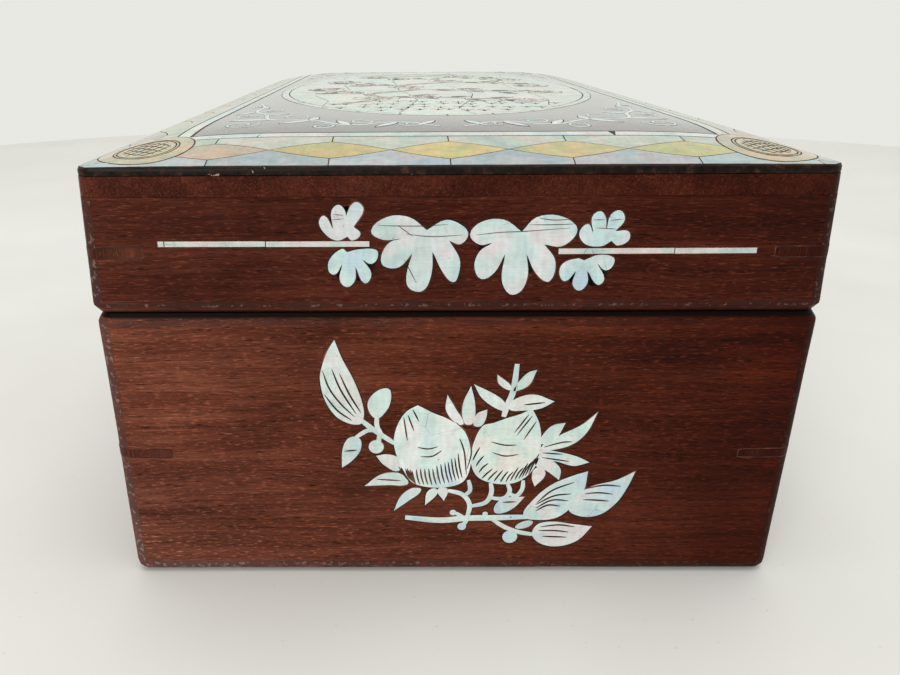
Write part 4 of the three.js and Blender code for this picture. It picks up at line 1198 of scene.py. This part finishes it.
def wing(inlay, direction, start):
    """A branch that runs out along a long side, with leaves above and below in turn."""
    stretch, rise, count = 8.5 * direction, -1.2, 5
    u, v = start
    line = [(u + stretch * k, v + rise * k + 0.7 * math.sin(2.2 * k)) for k in range(count + 1)]
    inlay.stem(line, 1.0)
    end = line[-1]
    leaf(inlay, end, (end[0] + 9 * direction, end[1] - 3), 3.4, ribs=2)
    for i in range(count):
        u, v = line[i][0] + 0.2 * stretch, line[i][1] + 0.2 * rise
        reach = (-1 if i % 2 else 1) * (10 - i * 0.6)
        bend = -0.9 * direction * math.copysign(1, reach)
        leaf(inlay, (u, v), (u + 0.95 * stretch, v + reach), 4.2, bend, ribs=3)
        leaf(inlay, (u, v), (u - 0.2 * stretch, v - reach * 0.55), 2.0, ribs=1)
        bends = ((0.4, 0), (0.6, 0.22), (0.74, 0.3))
        inlay.stem([(u + out * stretch, v - reach * drop) for out, drop in bends], 0.6)
        inlay.plate(circle(u + 0.78 * stretch, v - reach * 0.36, 0.95))


def side_spray(inlay):
    """Two fruits in the middle of a long side, with a branch of leaves to each side."""
    leaves = (((-3, 29), (-9, 40), 3.6), ((9, 30), (18, 39), 3.6), ((0.4, 20), (2.4, 9), 3.4))
    for base, tip, width in leaves:
        leaf(inlay, base, tip, width, 0.8, ribs=3)
    for outline in CALYX_LEAVES[:8]:
        inlay.plate(smooth(outline))
    inlay.stem([(-9, 22), (3, 24), (13.6, 22)], 1.0)
    wing(inlay, -1, (-8, 22))
    wing(inlay, 1, (12.6, 22))
    fruits(inlay)
    for line in FRUIT_LINES[:13]:
        inlay.engrave(line, 0.32)


def garland(inlay):
    """Two broad leaves between four small fans."""
    for outline in BROAD_LEAVES:
        inlay.plate(smooth(outline, 4), (0.62, 0.66, 0.65))
    for outline in FANS:
        inlay.plate(smooth(outline, 4), (0.60, 0.68, 0.68))
    for line in GARLAND_LINES:
        inlay.engrave(line, 0.12)


def stringing_line(inlay, start, end, joints):
    """A line of thin strips end to end."""
    stops = [start[0], *joints, end[0]]
    gap = 0.06

    def at(u):
        return start[1] + (end[1] - start[1]) * (u - start[0]) / (end[0] - start[0])

    for a, b in zip(stops, stops[1:]):
        left, right = a + gap, b - gap
        strip = [(left, at(a) - 0.45), (right, at(b) - 0.42), (right, at(b) + 0.42), (left, at(a) + 0.4)]
        inlay.plate(strip, (0.60, 0.60, 0.57), seam=0.1, soft=0.03)


def make_side_inlay():
    for face in FACES:
        spray = Inlay(drawn(upright_face(face), *SPRAY_PLACE))
        (fruit_spray if face in ("near", "far") else side_spray)(spray)
        node = f"body_{face}_spray"
        spray.build(node + "_drawing", "body", "pale_shell", PALE_SHELL, (node,))
        leaves = Inlay(drawn(lid_face(face), *GARLAND_PLACE))
        garland(leaves)
        node = f"lid_{face}_garland"
        leaves.build(node + "_drawing", "lid", "pale_shell", PALE_SHELL, (node,))
    runs = (
        ("left", (-44.4, 11.2), (-12.6, 11.1), (-43.4, -28.2)),
        ("right", (15.6, 9.9), (45.3, 9.9), (33.0,)),
    )
    for face in ("near", "far"):
        for side, start, end, joints in runs:
            line = Inlay(drawn(lid_face(face), *GARLAND_PLACE))
            stringing_line(line, start, end, joints)
            name = f"lid_{face}_{side}_stringing"
            line.build(name, "lid", "pale_shell", PALE_SHELL, (f"lid_{face}_line_{side}",))


# ---------------------------------------------------------------- the lid's top

# How far in from the lid's edge the border's rows begin and end.
EDGE_INSET = 0.42
LOWER_APEX = 2.3
TIP_LINE = 5.4
UPPER_APEX = 8.5
BAND_INNER = 11.4
STRINGING = (11.6, 13.9)
CORNER_CUT = 2.1
HAIR = 0.08
LOZENGE_TINTS = [
    (0.47, 0.39, 0.17),
    (0.44, 0.42, 0.22),
    (0.47, 0.34, 0.24),
    (0.49, 0.40, 0.15),
    (0.45, 0.35, 0.20),
]
OUTER_TINT = (0.38, 0.41, 0.43)
INNER_TINT = (0.45, 0.46, 0.39)
END_TINTS = ((0.36, 0.41, 0.43), (0.44, 0.44, 0.38), (0.43, 0.46, 0.42))
BULGE = 0.28  # how far the lozenges' sides bow out


def border_piece(inlay, face, outline, tint):
    """A piece of the border, cut back at the mitres and at the rounded corners of the lid."""
    half = half_along(face, EDGE_HALF)
    outline = tidy_outline(list(outline))
    for sign in (1, -1):
        outline = clip(outline, (sign, 1.0), half)
        outline = clip(outline, (sign, -1.0), half - CORNER_CUT)
    if len(outline) > 2 and abs(area(tidy_outline(outline))) > 0.3:
        inlay.plate(offset(tidy_outline(outline), -HAIR), tint, seam=HAIR + 0.08, soft=0.03)


def bowed(a, b, bulge):
    """Points from a to just before b, along a line that bows by the bulge."""
    along, rise = b[0] - a[0], b[1] - a[1]
    return [(a[0] + along * t, a[1] + rise * t + bulge * 4 * t * (1 - t)) for t in (0, 0.33, 0.67)]


def lozenge_band(face):
    """One side of the border: a row of lozenges between two rows of pale pieces."""
    half = half_along(face, EDGE_HALF)
    short = face in ("near", "far")
    count = 5 if short else 11
    pitch = 18.0 if short else 17.04
    centre = -1.0 if short else 0.0
    middles = [centre + (k - (count - 1) / 2) * pitch for k in range(-1, count + 1)]
    inlay = Inlay(border_place(face), cell=3.0, spread=0.08)
    nudges = [(rng.uniform(-0.5, 0.5), rng.uniform(-0.25, 0.25), rng.uniform(-0.25, 0.25)) for _ in middles]
    lower = [(s + along, LOWER_APEX + up) for s, (along, up, _) in zip(middles, nudges)]
    upper = [(s + along * 0.5, UPPER_APEX + up) for s, (along, _, up) in zip(middles, nudges)]
    tips = [(s + pitch / 2 + rng.uniform(-0.5, 0.5), TIP_LINE + rng.uniform(-0.15, 0.15)) for s in middles]
    tips.insert(0, (middles[0] - pitch / 2, TIP_LINE))
    last = len(middles) - 1
    for k in range(last + 1):
        tint = LOZENGE_TINTS[(k + rng.randrange(2)) % len(LOZENGE_TINTS)]
        left, right = tips[k], tips[k + 1]
        ring = bowed(left, lower[k], -BULGE) + bowed(lower[k], right, -BULGE)
        ring += bowed(right, upper[k], BULGE) + bowed(upper[k], left, BULGE)
        border_piece(inlay, face, ring, END_TINTS[1] if k in (0, last) else tint)
    for a, b, c, d, tip in zip(lower, lower[1:], upper, upper[1:], tips[1:]):
        outline = [(a[0], EDGE_INSET), (b[0], EDGE_INSET), *bowed(b, tip, -BULGE), *bowed(tip, a, -BULGE), a]
        border_piece(inlay, face, outline, OUTER_TINT)
        outline = [(d[0], BAND_INNER), (c[0], BAND_INNER), *bowed(c, tip, BULGE), *bowed(tip, d, BULGE), d]
        border_piece(inlay, face, outline, INNER_TINT)
    for sign, k in ((-1, 0), (1, -1)):
        end = sign * half
        for apex, edge, tint in ((lower[k], EDGE_INSET, END_TINTS[0]), (upper[k], BAND_INNER, END_TINTS[2])):
            border_piece(inlay, face, [(apex[0], edge), apex, tips[k], (end, TIP_LINE), (end, edge)], tint)
    inlay.build(f"lid_{face}_band_drawing", "lid", "pale_shell", BAND_SHELL, (f"lid_band_{face}",))


def make_stringing():
    """The pale line between the border and the field, one drawing round all four sides."""
    inlay = Inlay(None, cell=3.0, spread=0.07)
    for face in FACES:
        half = half_along(face, EDGE_HALF)
        inlay.place = border_place(face)
        inlay.count = 0  # each side's pieces start at the same tiny height
        s = -half
        while s < half:
            end = s + rng.uniform(20, 34)
            if half - end < 12:
                end = half
            lean = rng.uniform(-0.6, 0.6)
            low, high = STRINGING
            outline = [(s, low), (end, low), (end + lean, high), (s + lean, high)]
            border_piece(inlay, face, outline, (0.56, 0.60, 0.56))
            s = end
    inlay.build("lid_stringing_drawing", "lid", "pale_shell", BAND_SHELL, ("lid_stringing",))


def spiral(centre, radius, start, turns, direction):
    """Points of a curl that winds in from a radius towards its centre."""
    count = int(turns * 14)
    line = []
    for k in range(count + 1):
        t = k / count
        angle = math.radians(start) + direction * 2 * math.pi * turns * t
        reach = radius * (1 - 0.82 * t)
        line.append((centre[0] + reach * math.cos(angle), centre[1] + reach * math.sin(angle)))
    return line


def make_medallions():
    """Golden discs at the corners, engraved with rings round a plain lattice."""
    for name, (sign_x, sign_y) in LID_CORNERS.items():
        centre = (sign_x * (EDGE_HALF[0] - MEDALLION), sign_y * (EDGE_HALF[1] - MEDALLION))
        inlay = Inlay(on_lid, cell=2.5, tint=(0.50, 0.39, 0.24), spread=0.03)
        inlay.top = RAISED_TOP
        inlay.plate(circle(*centre, MEDALLION_RADIUS, 48), seam=0.2)
        for radius in (5.0, 4.5):
            inlay.engrave(circle(*centre, radius, 40) + [(centre[0] + radius, centre[1])], 0.22, closed=True)
        tilt = math.radians(38 * sign_x)
        for direction in (tilt, tilt + math.pi / 2):
            cos, sin = math.cos(direction), math.sin(direction)
            for shift in (-2.4, -1.2, 0, 1.2, 2.4):
                reach = math.sqrt(3.9**2 - shift**2) * (0.9 if shift else 1.0)
                bar = ((-reach, shift), (0, shift * 1.2), (reach, shift))
                line = [(centre[0] + a * cos - b * sin, centre[1] + a * sin + b * cos) for a, b in bar]
                inlay.engrave(line, 0.24)
        node = f"lid_medallion_{name}"
        inlay.build(node + "_drawing", "lid", "golden_shell", GOLDEN_SHELL, (node,))


def inside_oval(outline, half):
    """The part of an outline inside an oval, or nothing where only a sliver is left."""
    facets = 72
    for k in range(facets):
        angle = 2 * math.pi * (k + 0.5) / facets
        outline = clip(outline, (math.cos(angle) / half[0], math.sin(angle) / half[1]), 1.0)
    return outline if abs(area(outline)) >= 3 else []


def make_oval():
    """The oval panel: a mosaic of pale plates in a rim, let in with a flowering branch."""
    inlay = Inlay(on_lid, cell=3.0, tint=(0.60, 0.63, 0.56), spread=0.08)
    columns, rows = 5, 9
    step_x, step_y = 2 * OVAL[0] / columns, 2 * OVAL[1] / rows
    corners = {
        (i, j): (i * step_x - OVAL[0], j * step_y - OVAL[1])
        for i in range(-1, columns + 2)
        for j in range(-1, rows + 2)
    }
    for i in range(columns + 1):
        for j in range(rows + 1):
            x, y = corners[i, j]
            corners[i, j] = (x + rng.uniform(-3.4, 3.4) - 2 * (j % 2), y + rng.uniform(-3.4, 3.4))
    inner = (OVAL[0] - 1.9, OVAL[1] - 1.9)
    for i in range(-1, columns + 1):
        for j in range(-1, rows + 1):
            spots = [corners[key] for key in ((i, j), (i + 1, j), (i + 1, j + 1), (i, j + 1))]
            outline = inside_oval(spots, inner)
            if outline:
                inlay.plate(offset(tidy_outline(outline, 0.05), -HAIR), seam=HAIR + 0.06, soft=0.03)
    rim = 28
    for k in range(rim):
        a, b = 2 * math.pi * k / rim + 0.004, 2 * math.pi * (k + 1) / rim - 0.004
        turns = [a + (b - a) * t / 3 for t in range(4)]
        outline = [(OVAL[0] * math.cos(t), OVAL[1] * math.sin(t)) for t in turns]
        turns.reverse()
        outline += [((inner[0] + 0.2) * math.cos(t), (inner[1] + 0.2) * math.sin(t)) for t in turns]
        inlay.plate(outline, (0.58, 0.62, 0.58), seam=0.12, soft=0.03)
    flowering_branch(inlay)
    inlay.build("lid_oval_drawing", "lid", "pale_shell", BAND_SHELL, ("lid_oval_panel",))


PETAL_TINTS = [(0.72, 0.56, 0.52), (0.70, 0.66, 0.56), (0.66, 0.58, 0.64)]
LEAF_TINTS = [(0.34, 0.46, 0.38), (0.42, 0.50, 0.36), (0.36, 0.46, 0.46)]


def blossom(inlay, centre, radius):
    """Five petals round a golden eye."""
    start = rng.uniform(0, 72)
    tint = rng.choice(PETAL_TINTS)
    for petal in range(5):
        turn = math.radians(start + petal * 72)

        def at(reach, side, turn=turn):
            along, across = reach * radius, side * radius
            u = centre[0] + along * math.cos(turn) - across * math.sin(turn)
            return (u, centre[1] + along * math.sin(turn) + across * math.cos(turn))

        outline = [(*at(0.12, 0), 1), at(0.45, -0.3), at(0.86, -0.36)]
        outline += [(*at(0.95, 0), 1), at(0.86, 0.36), at(0.45, 0.3)]
        inlay.plate(smooth(outline, 4), tint, seam=0.14)
        for side in (-0.12, 0.0, 0.12):
            inlay.engrave([at(0.3, side * 0.5), at(0.5, side), at(0.66, side * 1.4)], 0.16)
    inlay.plate(circle(*centre, radius * 0.2, 10), (0.62, 0.46, 0.18), seam=0.14)


def flowering_branch(inlay):
    """A flowering branch over grass and far hills: branch, blossoms and leaves let in, the rest engraved."""
    for level in (50, 55, 59, 63):
        width = 0.82 * OVAL[0] * math.sqrt(1 - (level / OVAL[1]) ** 2)
        ridge = [(-width + 2 * width * t / 8, level + 1.7 * math.sin(t * 1.9 + level)) for t in range(9)]
        inlay.engrave(ridge, 0.3)
    for low, count in ((-64, 8), (-58, 13), (-52, 15), (-46, 9)):
        for k in range(count):
            u = (k - (count - 1) / 2) * 3.3 + rng.uniform(-0.8, 0.8)
            v = low + rng.uniform(-1.5, 1.5)
            for lean in (-1.3, 0.1, 1.4):
                tip = (u + lean, v + 3.4 - abs(lean) * 0.5)
                inlay.engrave([(u, v), (u + lean * 0.4, v + 1.8), tip], 0.26)
    inlay.top = RAISED_TOP
    trunk = [(-22, -50), (-13, -37), (-16, -23), (-5, -9), (-8, 8), (6, 22), (2, 37), (11, 50)]
    bark = (0.40, 0.30, 0.17)
    inlay.stem(trunk, 2.3, bark, seam=0.18)
    line = smooth(trunk, 6, closed=False)
    for k in range(1, len(line) - 2):
        (u, v), (next_u, next_v) = line[k], line[k + 1]
        shift = 0.5 * (-1) ** k
        inlay.engrave([(u + shift, v), (next_u + shift * 0.6, next_v)], 0.2)
    twigs = [
        [(-14, -31), (-4, -31), (8, -37), (18, -41)],
        [(-16, -24), (-24, -18), (-28, -6)],
        [(-5, -9), (8, -10), (18, -18), (27, -17)],
        [(-7, 4), (-18, 10), (-26, 22)],
        [(5, 20), (17, 19), (27, 6)],
        [(3, 33), (-9, 37), (-17, 46)],
        [(6, 44), (18, 40), (24, 30)],
    ]
    for twig in twigs:
        inlay.stem(twig, 0.9, bark, taper=0.6)
        path = smooth(twig, 8, closed=False)
        for k in range(3, len(path) - 1, 3):
            (u, v), (next_u, next_v) = path[k], path[k + 1]
            turn = math.atan2(next_v - v, next_u - u) + (-1) ** k * rng.uniform(0.6, 1.0)
            reach = rng.uniform(6.0, 8.5)
            tip = (u + reach * math.cos(turn), v + reach * math.sin(turn))
            leaf(inlay, (u, v), tip, reach * 0.36, (-1) ** k * 0.5, 3, rng.choice(LEAF_TINTS))
    for twig in twigs:
        for (u, v), radius in ((twig[-1], 5.2), (twig[1], 4.3)):
            spot = (u + rng.uniform(-1, 1), v + rng.uniform(-1, 1))
            blossom(inlay, spot, radius * rng.uniform(0.9, 1.1))
    for u, v, radius in ((-14, -35, 5.6), (-7, 1, 5.0), (5, 26, 5.4), (11, 51, 5.0)):
        blossom(inlay, (u, v), radius)


SCROLL_VINE = [
    (2, 86), (9, 81.6), (17, 84.6), (24, 79), (31, 77.4), (33.4, 69), (36.4, 62), (36.6, 52), (38.6, 44),
]
# Each leaf's stalk, tip and width.
SCROLL_LEAVES = [
    ((9, 82), (12.6, 86.6), 1.5),
    ((17, 84.6), (19.4, 79.8), 1.6),
    ((24, 79), (23.2, 74.6), 1.6),
    ((24, 79), (29, 82.6), 1.7),
    ((31, 77.4), (38.6, 76.2), 1.8),
    ((33.4, 69), (29.4, 68.4), 1.5),
    ((36.4, 62), (39.6, 65.4), 1.5),
    ((36.6, 52), (35.2, 56.4), 1.3),
    ((5, 84), (2.6, 80.4), 1.5),
]
# Each curl's centre, radius, first angle, turns and direction.
SCROLL_CURLS = [
    ((14.5, 81.0), 2.9, 200, 1.35, 1),
    ((21.5, 85.6), 2.4, -60, 1.3, -1),
    ((27.5, 73.6), 3.0, 60, 1.35, 1),
    ((35.6, 82.4), 3.2, 200, 1.45, -1),
    ((36.9, 70.0), 2.2, 180, 1.3, -1),
    ((33.2, 61.2), 2.2, 60, 1.3, 1),
    ((38.2, 50.5), 1.5, 180, 1.2, -1),
    ((6.6, 83.8), 2.2, 20, 1.3, 1),
]


def make_scrolls():
    """Thin curling tendrils in the four spandrels of the field."""
    for name, signs in LID_CORNERS.items():
        inlay = Inlay(on_lid, tint=(0.62, 0.68, 0.70))

        def mirrored(points, signs=signs):
            return [(signs[0] * x, signs[1] * y) for x, y in points]

        inlay.stem(mirrored(SCROLL_VINE), 0.75)
        for centre, radius, start, turns, direction in SCROLL_CURLS:
            inlay.stem(mirrored(spiral(centre, radius, start, turns, direction)), 0.5, taper=0.5)
        for base, tip, width in SCROLL_LEAVES:
            leaf(inlay, *mirrored([base, tip]), width, ribs=0)
        inlay.build(f"lid_scroll_{name}_drawing", "lid", "pale_shell", BAND_SHELL, (f"lid_scroll_{name}",))


# ---------------------------------------------------------------- hinges


def finish_hinges():
    """The hinges keep their CAD shapes, with softened edges and tarnished brass."""
    for name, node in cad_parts.items():
        if not name.startswith("hinge_"):
            continue
        node.data.materials.clear()
        node.data.materials.append(PIN_BRASS if "pin" in name or "screw" in name else BRASS)
        edges = node.modifiers.new("edges", "BEVEL")
        edges.width = 0.12 * METRES
        edges.segments = 2
        edges.limit_method = "ANGLE"
        edges.angle_limit = math.radians(40)


def make_floor():
    radius, centre, count = 560, 20, 96
    points = [Vector((x, y, 0)) * METRES for x, y in circle(0, centre, radius, count)]
    mesh = bpy.data.meshes.new("floor")
    mesh.from_pydata(points, [], [list(range(count))])
    mesh.materials.append(FLOOR)
    floor = bpy.data.objects.new("floor", mesh)
    bpy.context.scene.collection.objects.link(floor)


make_camera()
make_world()
make_area_light("window", (-0.5, -1.1, 0.55), (0, -0.14, 0.0), 0.8, 6.5, (1.0, 0.99, 0.96))
make_area_light("ceiling", (0.1, -0.1, 1.3), (0, 0, 0), 1.2, 7.0, (1.0, 0.998, 0.985))
make_floor()
make_body()
make_lid_rails()
make_lid_top()
make_keys()
make_side_inlay()
for side in FACES:
    lozenge_band(side)
make_stringing()
make_medallions()
make_oval()
make_scrolls()
finish_hinges()
bpy.context.scene.view_settings.view_transform = "Standard"
